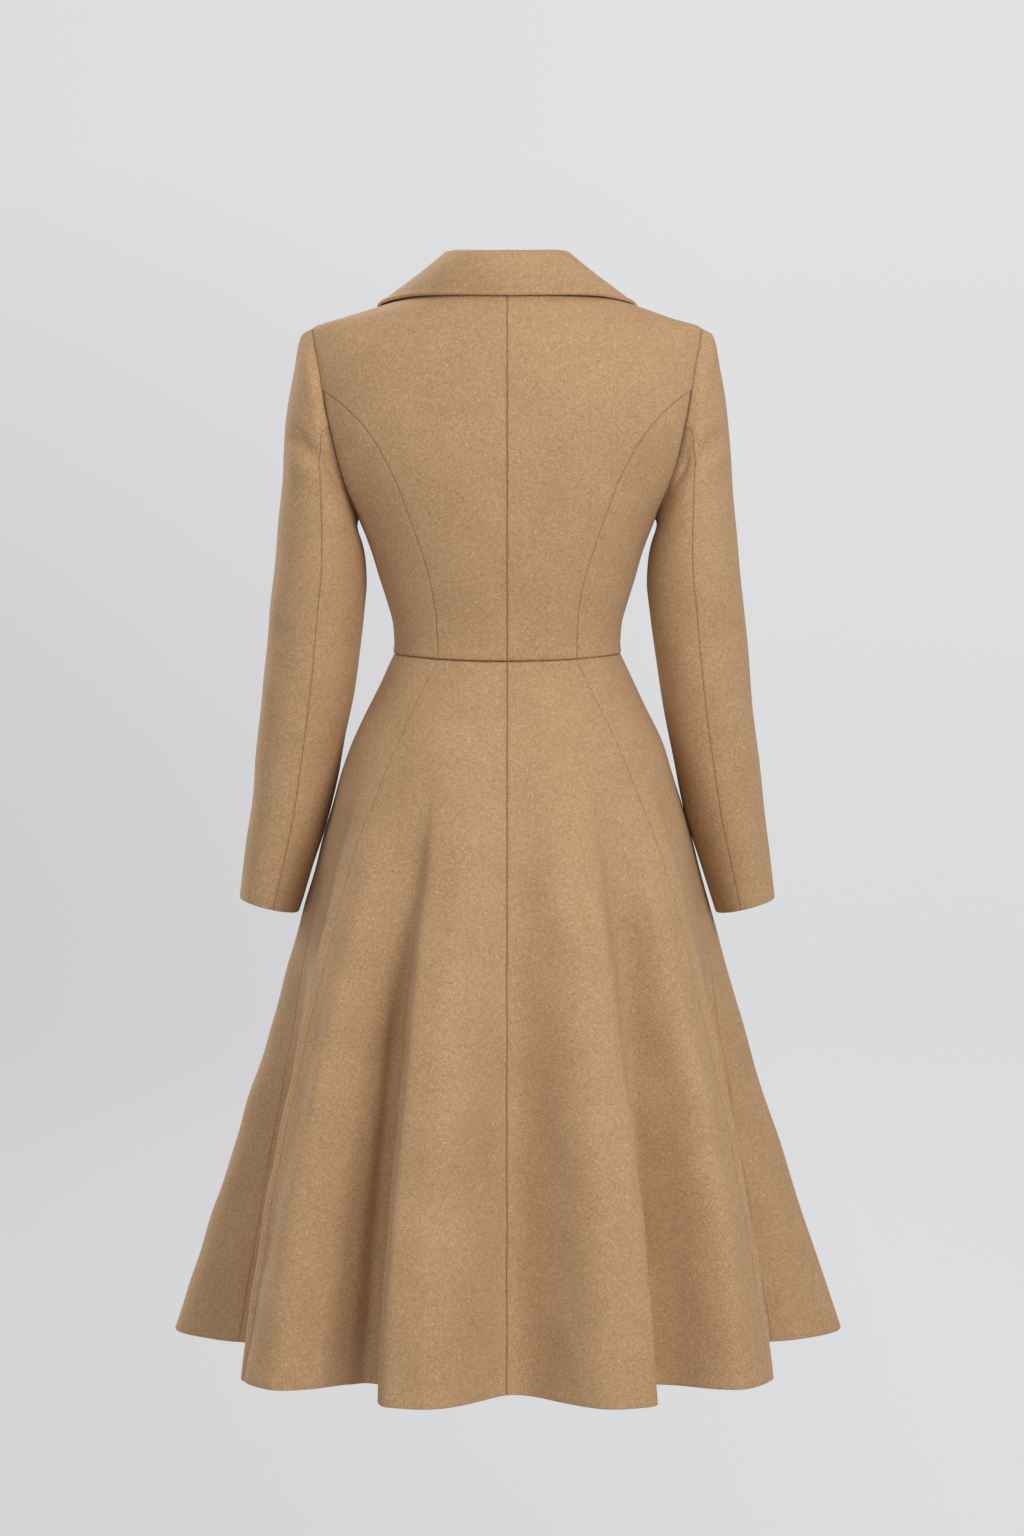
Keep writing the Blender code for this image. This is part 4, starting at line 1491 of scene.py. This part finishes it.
@dataclass
class Skirt:
    """Eight gores that carry on the bodice's seams and flare into soft folds."""

    bodice: Bodice
    hem: float = -1.103
    roundness: float = 2.2
    fold_start: float = 0.15
    fold_growth: float = 1.3
    seam_spread: float = 14.0
    seam_reach: float = 0.22
    pitch: tuple[float, float] = (0.0040, 0.0070)
    drape: Drape = Drape(
        creases=(
            Crease(Half.BACK, ((0.030, -0.470), (0.040, -0.560), (0.048, -0.680)), 0.020, 0.0016),
            Crease(Half.BACK, ((0.095, -0.430), (0.118, -0.500), (0.140, -0.590)), 0.016, -0.0018),
            Crease(Half.FRONT, ((0.090, -0.430), (0.108, -0.520), (0.124, -0.620)), 0.017, -0.0020),
            Crease(
                Half.BACK,
                ((0.094, -0.640), (0.110, -0.741), (0.121, -0.864), (0.1295, -0.959), (0.141, -1.110)),
                0.009,
                -0.0085,
                fade_out=0.0,
                sides=(Side.LEFT,),
            ),
            Crease(
                Half.BACK,
                ((0.106, -0.640), (0.126, -0.741), (0.138, -0.864), (0.147, -0.959), (0.160, -1.110)),
                0.018,
                -0.0050,
                fade_out=0.0,
                sides=(Side.LEFT,),
            ),
            Crease(
                Half.BACK,
                ((0.150, -0.560), (0.196, -0.750), (0.238, -0.931), (0.267, -1.063), (0.281, -1.130)),
                0.011,
                -0.0070,
                fade_out=0.0,
                sides=(Side.LEFT,),
            ),
            Crease(
                Half.BACK,
                ((0.160, -0.580), (0.193, -0.690), (0.216, -0.807), (0.249, -0.959), (0.282, -1.130)),
                0.012,
                -0.0055,
                fade_out=0.0,
                sides=(Side.RIGHT,),
            ),
            Crease(
                Half.BACK,
                ((0.128, -0.720), (0.142, -0.880), (0.152, -1.110)),
                0.018,
                0.0045,
                fade_out=0.0,
                sides=(Side.RIGHT,),
            ),
        ),
        unevenness=0.0018,
    )

    def __post_init__(self) -> None:
        """Make the form that the gores are cut from."""
        self.form = SkirtForm(self)

    def seam(self, half: Half, shares: Array) -> Array:
        """Trace a seam that carries on a princess seam and swings outwards.

        Args:
            half: Back or front.
            shares: Shares of the way from waist to hem.

        Returns:
            Angles.
        """
        waist = self.bodice.waist
        angle = self.bodice.form.angle_at(waist, PRINCESS[half][0].across, half)
        place = self.bodice.form.point(angle, np.array(waist), Side.LEFT)
        swing = math.radians(self.seam_spread) * (1 - np.exp(-shares / self.seam_reach))
        return math.atan2(place[0], place[1]) + swing * half.value

    def front_edge(self, shares: Array) -> Array:
        """Trace the front edge, past the centre front by the lap."""
        return math.pi + np.arcsin(self.bodice.lap / self.form.front(shares))

    def gores(self, side: Side) -> list[Panel]:
        """Cut the four gores of one side.

        Args:
            side: The wearer's side.

        Returns:
            The gores, from the centre back round to the front edge.
        """
        shares = np.linspace(1, 0, EDGE_SAMPLES)
        back_seam, front_seam = self.seam(Half.BACK, shares), self.seam(Half.FRONT, shares)
        side_seam = np.full_like(shares, math.pi / 2)
        lines = (
            ("back_centre", np.zeros_like(shares), back_seam, SEWN, FAINT),
            ("back_side", back_seam, side_seam, FAINT, FAINT),
            ("front_side", side_seam, front_seam, FAINT, FAINT),
            ("front_centre", front_seam, self.front_edge(shares), FAINT, TURNED),
        )
        made = []
        for where, first, last, first_roll, last_roll in lines:
            across = np.linspace(0, 1, EDGE_SAMPLES)
            made.append(
                Panel(
                    node=f"skirt_{where}_{side.label}",
                    form=self.form,
                    bottom=ParamEdge.along(pairs(first[0] + across * (last[0] - first[0]), 1.0)),
                    top=ParamEdge.along(pairs(first[-1] + across * (last[-1] - first[-1]), 0.0)),
                    left=ParamEdge.along(pairs(first, shares)),
                    right=ParamEdge.along(pairs(last, shares)),
                    rolls=(TURNED, DEEP, first_roll, last_roll),
                    pitch=self.pitch,
                )
            )
        return made

    def build(self, material: bpy.types.Material) -> None:
        """Make the eight gores.

        Args:
            material: Their finish.
        """
        for side in Side:
            for gore in self.gores(side):
                shell = self.bodice.shell(gore, self.drape, side, ledge=0.0)
                add_cloth(gore.node, shell, material)


class SleeveForm(Form):
    """A set-in sleeve: first parameter a station in degrees, second a length down from the armhole."""

    def __init__(self, sleeve: "Sleeves") -> None:
        """Read the sections' columns along the sleeve's length.

        Args:
            sleeve: The sleeves' sizes.
        """
        self.sizes = sleeve
        table = np.array(SLEEVE)
        self.knots = lengths_passed(table[:, :2])
        self.row = smooth_curve(self.knots, np.arange(len(table)))
        self.section = smooth_curve(self.knots, table)

    @property
    def length(self) -> float:
        """Length along the outer side."""
        return float(self.knots[-1])

    def small_steps(self) -> tuple[float, float]:
        """Steps of station and length over which directions are measured."""
        return SMALL_STATION, SMALL_STEP

    def ends(self, length: Array) -> tuple[Array, Array, Array]:
        """Measure slanting slices.

        Args:
            length: Lengths down from the armhole.

        Returns:
            Each slice's outer end, inner end and half depth.
        """
        cut = SleeveSection(*np.moveaxis(self.section(length), -1, 0))
        outer = np.stack([cut.outer_x, cut.middle_y, cut.outer_z], axis=-1)
        inner = np.stack([cut.inner_x, cut.middle_y, cut.inner_z], axis=-1)
        return outer, inner, cut.half_depth

    def ring(self, station: Array, length: Array) -> Array:
        """Give an oval slice's places on the left sleeve.

        Args:
            station: Stations in degrees.
            length: Lengths down from the armhole.

        Returns:
            Places.
        """
        outer, inner, depth = self.ends(length)
        turn = np.radians(station)[..., None]
        sideways = np.stack([0 * depth, depth, 0 * depth], axis=-1)
        return (outer + inner) / 2 + np.cos(turn) * (outer - inner) / 2 + np.sin(turn) * sideways

    def point(self, station: Array, length: Array, side: Side) -> Array:
        """Give places on a sleeve, which starts on the armhole's edge.

        Args:
            station: Stations in degrees.
            length: Lengths down from the armhole.
            side: The wearer's side.

        Returns:
            Places.
        """
        sizes = self.sizes
        station, length = np.broadcast_arrays(np.asarray(station, float), np.asarray(length, float))
        row = self.row(length)
        near = bell(station - sizes.back_seam, sizes.swing_reach)
        swing = sizes.seam_swing * (row / (len(SLEEVE) - 1)) ** sizes.swing_growth
        angle, height = sizes.bodice.armhole(half_turns(station))
        loop = sizes.bodice.form.point(angle, height, Side.LEFT)
        miss = loop - self.ring(station, np.zeros_like(station))
        fade = (1 - smooth_step(row / sizes.loop_fade))[..., None]
        made = self.ring(station + swing * near, length) + miss * fade
        return made * np.array([side.value, 1, 1])

    def core(self, station: Array, length: Array, side: Side) -> Array:
        """Give the slices' middles."""
        outer, inner, _ = self.ends(np.asarray(length, float))
        return (outer + inner) / 2 * np.array([side.value, 1, 1])


@dataclass
class Sleeves:
    """Two-piece sleeves, an upper and an under piece on each side."""

    bodice: Bodice
    back_seam: float = 92.0
    front_seam: float = -100.0
    seam_swing: float = 12.0
    swing_reach: float = 60.0
    swing_growth: int = 3
    loop_fade: float = 6.0
    easing_in: float = 0.014
    sewn_reach: float = 0.005
    pitch: tuple[float, float] = (0.0038, 0.0046)
    drape: Drape = Drape(
        creases=(
            Crease(
                Half.BACK,
                ((0.168, -0.192), (0.180, -0.184), (0.198, -0.177), (0.213, -0.162), (0.221, -0.136)),
                0.0105,
                -0.0060,
                fade_in=0.0,
                fade_out=0.45,
            ),
            Crease(Half.BACK, ((0.226, -0.160), (0.214, -0.186), (0.196, -0.200)), 0.011, 0.0018),
            Crease(Half.BACK, ((0.176, -0.196), (0.170, -0.225), (0.168, -0.260)), 0.014, 0.0016),
            Crease(Half.BACK, ((0.236, -0.300), (0.243, -0.380), (0.250, -0.450)), 0.010, 0.0012),
            Crease(Half.BACK, ((0.246, -0.345), (0.222, -0.362), (0.196, -0.368)), 0.012, -0.0013),
            Crease(Half.BACK, ((0.176, -0.420), (0.200, -0.432), (0.226, -0.428)), 0.012, -0.0010),
            Crease(
                Half.FRONT,
                ((0.158, -0.205), (0.178, -0.184), (0.200, -0.172)),
                0.011,
                -0.0040,
                fade_in=0.0,
                fade_out=0.4,
            ),
            Crease(Half.FRONT, ((0.158, -0.372), (0.184, -0.360), (0.214, -0.352)), 0.010, -0.0024),
            Crease(Half.FRONT, ((0.160, -0.402), (0.190, -0.396), (0.226, -0.402)), 0.011, -0.0026),
            Crease(Half.FRONT, ((0.172, -0.438), (0.200, -0.430), (0.232, -0.436)), 0.011, -0.0018),
        ),
        unevenness=0.0014,
    )

    def __post_init__(self) -> None:
        """Make the form that the sleeves are cut from."""
        self.form = SleeveForm(self)

    def panel(self, piece: SleevePiece, side: Side) -> Panel:
        """Cut an upper or an under sleeve.

        Args:
            piece: Which of the two.
            side: The wearer's side.

        Returns:
            The panel.
        """
        first, last = self.front_seam, self.back_seam
        armhole_roll = DEEP
        if piece is SleevePiece.UNDER:
            first, last = self.back_seam, self.front_seam + 360
            armhole_roll = CREVICE
        stations = np.linspace(first, last, 2 * EDGE_SAMPLES)
        lengths = np.linspace(self.form.length, 0, EDGE_SAMPLES)
        return Panel(
            node=f"sleeve_{piece.value}_{side.label}",
            form=self.form,
            bottom=ParamEdge.along(pairs(stations, self.form.length)),
            top=ParamEdge.along(pairs(stations, 0.0)),
            left=ParamEdge.along(pairs(first, lengths)),
            right=ParamEdge.along(pairs(last, lengths)),
            rolls=(TURNED, armhole_roll, PRESSED, PRESSED),
            pitch=self.pitch,
        )

    def shell(self, panel: Panel, side: Side) -> ShellGrid:
        """Turn a sleeve panel into cloth.

        Args:
            panel: The cut piece.
            side: The wearer's side.

        Returns:
            The cloth's two grids.
        """
        grid = panel.grid(side)
        points = self.form.point(grid[..., 0], grid[..., 1], side)
        normals = self.form.normals(grid[..., 0], grid[..., 1], side)
        lift = self.drape.relief(points, normals) * smooth_step(grid[..., 1] / self.easing_in)
        sewn = 1 - smooth_step(grid[..., 1] / self.sewn_reach)
        angle, height = self.bodice.armhole(half_turns(grid[..., 0]))
        loop = self.bodice.form.point(angle, height, side)
        facing = self.bodice.form.normals(angle, height, side)
        lift = lift + self.bodice.drape.relief(loop, facing) * sewn
        normals = unit(normals * (1 - sewn)[..., None] + facing * sewn[..., None])
        return panel.cloth(points, normals, lift)

    def build(self, material: bpy.types.Material) -> None:
        """Make both pieces of both sleeves.

        Args:
            material: Their finish.
        """
        for side in Side:
            for piece in SleevePiece:
                panel = self.panel(piece, side)
                add_cloth(panel.node, self.shell(panel, side), material)


@dataclass
class Collar:
    """A stand that turns over into a fall with pointed front ends."""

    bodice: Bodice
    last_station: float = 167.77
    fold_width: float = 0.011
    roll: float = 0.004
    rest: float = 0.0006
    columns: int = 150
    rows: int = 34
    fall_shares: tuple[float, ...] = (0.25, 0.5, 0.75, 1.0)
    bead: float = 0.0007
    bead_place: float = 0.0032
    bead_width: float = 0.0022
    groove: float = -0.0006
    groove_place: float = 0.0085
    groove_width: float = 0.0030
    rolls: tuple[EdgeRoll, EdgeRoll, EdgeRoll, EdgeRoll] = (PLAIN, ROLLED, ROLLED_END, ROLLED_END)

    def __post_init__(self) -> None:
        """Read the sections' columns."""
        self.stand, self.lean, self.swell, self.edge_angle, self.edge_height = columns_of(COLLAR)

    def sections(self, stations: Array) -> Array:
        """Trace cross-sections: up the stand, over the fold and down the fall.

        Args:
            stations: Degrees round the neck, positive on the wearer's left.

        Returns:
            Nine places for each station.
        """
        size = np.abs(stations)
        mirror = np.where(stations >= 0, 1, -1)[:, None] * np.array([1, 0, 0]) + np.array([0, 1, 1])
        form = self.bodice.form
        up = np.array([0.0, 0.0, 1.0])
        angle, height = self.bodice.neckline(size)
        seat = form.point(angle, height, Side.LEFT)
        dip = np.where(stations >= 0, self.bodice.lap_dip(seat, Side.LEFT), 0.0)[:, None]
        seat = seat - form.normals(angle, height, Side.LEFT) * dip - up * NECK_SINK
        out = unit(seat * np.array([1, 1, 0]))
        stand, lean, swell = (curve(size)[:, None] for curve in (self.stand, self.lean, self.swell))
        angle, height = np.radians(self.edge_angle(size)), self.edge_height(size)
        edge = form.point(angle, height, Side.LEFT)
        edge = edge + form.normals(angle, height, Side.LEFT) * (self.rest + COLLAR_CLOTH)
        fold = seat + out * (self.fold_width - lean) + up * (stand - self.roll)
        places = [
            seat,
            seat - out * lean / 2 + up * stand / 2,
            seat - out * lean + up * (stand - self.roll),
            seat + out * (self.fold_width / 2 - lean) + up * stand,
            fold,
        ]
        for share in self.fall_shares:
            bulge = (out + up) * swell * math.sin(math.pi * share)
            places.append(fold * (1 - share) + edge * share + bulge)
        return np.stack(places, axis=0) * mirror

    def build(self, material: bpy.types.Material) -> None:
        """Make the collar.

        Args:
            material: Its finish.
        """
        stations = np.linspace(-self.last_station, self.last_station, self.columns)
        drawn = self.sections(stations)
        steps = np.linalg.norm(np.diff(drawn, axis=0), axis=-1).mean(axis=1)
        knots = np.concatenate([[0], np.cumsum(steps)])
        curve = smooth_curve(knots, drawn.reshape(len(drawn), -1))
        far = knots[-1] - ROLLED.width
        rolled = knots[-1] - ROLLED.width * ROLL_STEPS[-2::-1]
        lengths = np.concatenate([np.linspace(0, far, self.rows), rolled])
        points = curve(lengths).reshape(len(lengths), self.columns, 3)
        normals = unit(np.cross(np.gradient(points, axis=1), np.gradient(points, axis=0)))
        normals *= np.sign(normals[-1, self.columns // 2, 1])
        from_edge = (knots[-1] - lengths)[:, None]
        lift = self.bead * bell(from_edge - self.bead_place, self.bead_width)
        lift = lift + self.groove * bell(from_edge - self.groove_place, self.groove_width)
        drop, under, seam, rim = roll_edges(self.rolls, points.shape[:2])
        outer = points + normals * (lift - drop)[..., None]
        inner = points + normals * (under - COLLAR_CLOTH)[..., None]
        add_cloth("collar", ShellGrid(outer, inner, seam, rim), material)


@dataclass
class Buttons:
    """Dished four-hole buttons down the centre front, sewn on with thread."""

    bodice: Bodice
    skirt: Skirt
    radius: float = 0.014
    rim: float = 0.0025
    thick: float = 0.0045
    dish: float = 0.0012
    lift: float = 0.0006
    heights: tuple[float, ...] = (-0.110, -0.190, -0.270, -0.350)
    skirt_share: float = 0.098
    edge_round: float = 0.0004
    wall_levels: tuple[float, float, float] = (0.25, 0.5, 0.8)
    lip_share: float = 0.3
    middle_radius: float = 0.0001
    side_rings: int = 24
    rings: int = 30
    spokes: int = 96
    hole_radius: float = 0.0011
    hole_spread: float = 0.0026
    hole_reach: float = 1.25
    hole_slope: float = 0.5
    hole_depth: float = 0.55
    thread_radius: float = 0.0005
    thread_sink: float = 0.0014
    thread_rise: float = 0.0024
    thread_steps: int = 13
    thread_sides: int = 10
    seat_samples: int = 16

    def spots(self) -> list[tuple[Form, float]]:
        """Where the buttons are sewn, as a form and its second parameter at the centre front."""
        on_bodice = [(self.bodice.form, height) for height in self.heights]
        return [*on_bodice, (self.skirt.form, self.skirt_share)]

    def holes(self) -> Array:
        """Middles of the four holes, in the button's own plane."""
        turn = np.radians([45, 135, 225, 315])
        return np.stack([np.cos(turn), np.sin(turn)], axis=-1) * self.hole_spread

    def face(self) -> tuple[Array, Array]:
        """Model a button in its own frame, lying on its back.

        Returns:
            Vertices and quads.
        """
        low, middle, high = (self.thick * level for level in self.wall_levels)
        floor = self.thick - self.dish
        profile = np.array(
            [
                (0.0, 0.0),
                (self.radius - self.rim, 0.0),
                (self.radius - self.edge_round, low),
                (self.radius, middle),
                (self.radius - self.edge_round, high),
                (self.radius - self.rim / 2, self.thick),
                (self.radius - self.rim, self.thick - self.dish * self.lip_share),
                (self.radius - 2 * self.rim, floor),
                (self.hole_spread * 2, floor),
                (self.middle_radius, floor),
            ]
        )
        knots = lengths_passed(profile)
        dished = knots[-3]
        face_shares = np.linspace(dished, knots[-1], self.rings)[1:]
        shares = np.concatenate([np.linspace(0, dished, self.side_rings), face_shares])
        line = smooth_curve(knots, profile)(shares)
        turn = np.linspace(0, 2 * math.pi, self.spokes, endpoint=False)
        x = line[:, :1] * np.cos(turn)
        y = line[:, :1] * np.sin(turn)
        z = np.repeat(line[:, 1:], self.spokes, axis=1)
        top = (shares >= dished)[:, None]
        for hole in self.holes():
            away = np.hypot(x - hole[0], y - hole[1])
            inward = self.hole_radius * self.hole_reach - away
            pit = smooth_step(inward / (self.hole_radius * self.hole_slope))
            z = z - np.where(top, pit * self.thick * self.hole_depth, 0)
        return np.stack([x, y, z], axis=-1).reshape(-1, 3), ring_quads(*x.shape)

    def strand(self, start: Array, end: Array) -> tuple[Array, Array]:
        """Model a strand of thread that arches from one hole to another.

        Args:
            start: Middle of the first hole.
            end: Middle of the second hole.

        Returns:
            Vertices and quads.
        """
        shares = np.linspace(0, 1, self.thread_steps)
        flat = start + shares[:, None] * (end - start)
        foot = self.thick - self.dish - self.thread_sink
        arch = foot + self.thread_rise * np.sqrt(np.sin(math.pi * shares))
        path = np.concatenate([flat, arch[:, None]], axis=1)
        along = unit(np.gradient(path, axis=0))
        beside = unit(np.cross(along, np.array([0.0, 0.0, 1.0])))
        over = np.cross(beside, along)
        turn = np.linspace(0, 2 * math.pi, self.thread_sides, endpoint=False)[None, :, None]
        ring = self.thread_radius * (np.cos(turn) * beside[:, None] + np.sin(turn) * over[:, None])
        points = path[:, None] + ring
        return points.reshape(-1, 3), ring_quads(*points.shape[:2])

    def seat(self, form: Form, second: float) -> tuple[Array, Array]:
        """Find where a button sits.

        Args:
            form: The bodice's or the skirt's form.
            second: Its second parameter.

        Returns:
            The place and the outward direction.
        """
        first, second = np.array(math.pi), np.array(second)
        place = form.point(first, second, Side.RIGHT)
        normal = form.normals(first, second, Side.RIGHT)
        across = np.linalg.norm(form.point(first + SEAT_STEP, second, Side.RIGHT) - place) / SEAT_STEP
        down = np.linalg.norm(form.point(first, second + SEAT_STEP, Side.RIGHT) - place) / SEAT_STEP
        turn = np.linspace(0, 2 * math.pi, self.seat_samples)
        around = form.point(
            first + self.radius / across * np.cos(turn),
            second + self.radius / down * np.sin(turn),
            Side.RIGHT,
        )
        bulge = max(0.0, float(((around - place) @ normal).max()))
        return place + normal * (bulge + self.lift), normal

    def build(self, horn: bpy.types.Material, thread: bpy.types.Material) -> None:
        """Make the buttons and the thread in their holes.

        Args:
            horn: The buttons' finish.
            thread: The thread's finish.
        """
        vertices, quads = self.face()
        holes = self.holes()
        strands = [self.strand(holes[0], holes[1]), self.strand(holes[3], holes[2])]
        for number, (form, second) in enumerate(self.spots(), 1):
            place, normal = self.seat(form, second)
            turn = np.array(Vector(normal).to_track_quat("Z", "Y").to_matrix())
            button = add_mesh(f"horn_button_{number}", vertices @ turn.T + place, quads, horn)
            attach(button, "root")
            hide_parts(f"button_{number}")
            for which, (points, faces) in enumerate(strands, 1):
                sewn = add_mesh(f"thread_button_{number}_{which}", points @ turn.T + place, faces, thread)
                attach(sewn, "root")
            log.info("horn_button_%d and its thread at height %.3f", number, place[2])


class Lamp(NamedTuple):
    """A square soft light: its name, where it hangs, its power in watts and the length of its sides."""

    name: str
    place: tuple[float, float, float]
    watts: float
    size: float


@dataclass
class Studio:
    """A seamless sweep that glows with painted light, soft lights and the camera."""

    lamps: tuple[Lamp, ...] = (
        Lamp("key_light", (-2.0, 3.5, 1.3), 113.0, 1.6),
        Lamp("fill_light", (2.8, 3.2, 0.2), 24.0, 2.4),
        Lamp("far_light", (2.6, -2.9, 1.3), 95.0, 1.5),
        Lamp("top_light", (0.0, 0.4, 3.2), 20.0, 2.0),
    )
    lamps_aim: tuple[float, float, float] = (0.0, 0.0, -0.55)
    floor: float = -1.45
    inner_radius: float = 2.0
    flat_radius: float = 4.2
    wall_radius: float = 7.0
    wall_top: float = 4.0
    bend_steps: int = 24
    segments: int = 128
    camera_place: tuple[float, float, float] = (-0.005, 4.0, -0.2257)
    camera_tilt: float = 3.906
    lens: float = 90.5
    sensor: float = 36.0
    sky: Colour = (1.0, 0.965, 0.915, 1.0)
    sky_strength: float = 0.44
    paper: Colour = (0.05, 0.05, 0.05, 1.0)
    paper_roughness: float = 0.9
    paper_specular: float = 0.1
    # Painted light: the colours the paper glows with, lower on the floor, higher up the wall and towards -X.
    floor_painted_light: Colour = (0.548, 0.548, 0.561, 1.0)
    wall_painted_light: Colour = (0.690, 0.690, 0.706, 1.0)
    painted_side_light_floor: Colour = (0.660, 0.664, 0.680, 1.0)
    painted_side_light_wall: Colour = (0.725, 0.730, 0.748, 1.0)
    painted_side_light_span: tuple[float, float] = (1.4, -0.6)
    painted_light_rise: float = 2.2

    def paper_material(self) -> bpy.types.Material:
        """Build the sweep's finish, painted light that glows from the nearly black paper, brighter up the
        wall and towards -X, the key light's side.

        Returns:
            The material.
        """
        material = bpy.data.materials.new("painted_light_paper")
        material.use_nodes = True
        shader = material.node_tree.nodes["Principled BSDF"]
        shader.inputs["Base Color"].default_value = self.paper
        shader.inputs["Roughness"].default_value = self.paper_roughness
        shader.inputs["Specular IOR Level"].default_value = self.paper_specular
        graph = Graph(material.node_tree)
        where = graph.add("ShaderNodeTexCoord").outputs["Object"]
        parted = graph.add("ShaderNodeSeparateXYZ", Vector=where)
        up = graph.span(parted.outputs["Z"], self.floor, self.floor + self.painted_light_rise, 0.0, 1.0)
        aside = graph.span(parted.outputs["X"], *self.painted_side_light_span, 0.0, 1.0)
        low = graph.blend(aside, self.floor_painted_light, self.painted_side_light_floor)
        high = graph.blend(aside, self.wall_painted_light, self.painted_side_light_wall)
        # Painted light: the glow stands in for lamp light falling on the sweep.
        graph.feed(shader.inputs["Emission Color"], graph.blend(up, low, high))
        shader.inputs["Emission Strength"].default_value = 1.0
        return material

    def sweep(self) -> None:
        """Make the floor, which curves up into a wall all round."""
        bend = np.linspace(0, math.pi / 2, self.bend_steps)
        reach = self.wall_radius - self.flat_radius
        curved = self.flat_radius + reach * np.sin(bend)
        radius = np.concatenate([[0.0, self.inner_radius], curved, [self.wall_radius]])
        rising = self.floor + reach * (1 - np.cos(bend))
        height = np.concatenate([[self.floor] * 2, rising, [self.wall_top]])
        turn = np.linspace(0, 2 * math.pi, self.segments, endpoint=False)
        x, y = radius[:, None] * np.cos(turn), radius[:, None] * np.sin(turn)
        points = np.stack([x, y, np.repeat(height[:, None], self.segments, axis=1)], axis=-1)
        quads = ring_quads(*points.shape[:2])[:, ::-1]
        paper = add_mesh("studio_sweep", points.reshape(-1, 3), quads, self.paper_material())
        paper.visible_diffuse = False

    def hang(self, lamp: Lamp) -> None:
        """Hang a lamp that faces the middle of the coat.

        Args:
            lamp: Its name, place, power and size.
        """
        data = bpy.data.lights.new(lamp.name, "AREA")
        data.energy = lamp.watts
        data.size = lamp.size
        hung = bpy.data.objects.new(lamp.name, data)
        hung.location = lamp.place
        hung.rotation_mode = "QUATERNION"
        hung.rotation_quaternion = (Vector(self.lamps_aim) - Vector(lamp.place)).to_track_quat("-Z", "Y")
        hung.visible_camera = False
        bpy.context.scene.collection.objects.link(hung)

    def light_sky(self) -> None:
        """Light the room evenly from all round, and show tones as they are."""
        world = bpy.data.worlds.new("studio_sky")
        world.use_nodes = True
        background = world.node_tree.nodes["Background"]
        background.inputs["Color"].default_value = self.sky
        background.inputs["Strength"].default_value = self.sky_strength
        bpy.context.scene.world = world
        bpy.context.scene.view_settings.view_transform = "Standard"

    def set_camera(self) -> None:
        """Stand the camera behind the coat."""
        data = bpy.data.cameras.new("camera")
        data.lens = self.lens
        data.sensor_width = self.sensor
        camera = bpy.data.objects.new("camera", data)
        camera.location = self.camera_place
        camera.rotation_euler = (math.radians(90 - self.camera_tilt), 0, math.pi)
        bpy.context.scene.collection.objects.link(camera)
        bpy.context.scene.camera = camera

    def build(self) -> None:
        """Make the sweep, the lights, the sky and the camera."""
        self.sweep()
        for lamp in self.lamps:
            self.hang(lamp)
        self.light_sky()
        self.set_camera()
        log.info("studio with %d lamps", len(self.lamps))


def main() -> None:
    """Build the coat piece by piece, then its studio."""
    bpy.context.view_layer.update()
    groups = NodeGroups(mottle=fibre_mottle_group(), edge=painted_edge_light_group())
    wool = WoolFinish("camel_wool").material(groups)
    collar_wool = WoolFinish("camel_wool_collar", sheen=0.16).material(groups)
    thread = WoolFinish("button_thread", middle=(0.16, 0.09, 0.05, 1.0), sheen=0.1).material(groups)
    horn = HornFinish("dark_horn").material(groups)
    bodice = Bodice()
    skirt = Skirt(bodice)
    bodice.build(wool)
    skirt.build(wool)
    Sleeves(bodice).build(wool)
    Collar(bodice).build(collar_wool)
    Buttons(bodice, skirt).build(horn, thread)
    Studio().build()


if __name__ == "__main__":
    main()
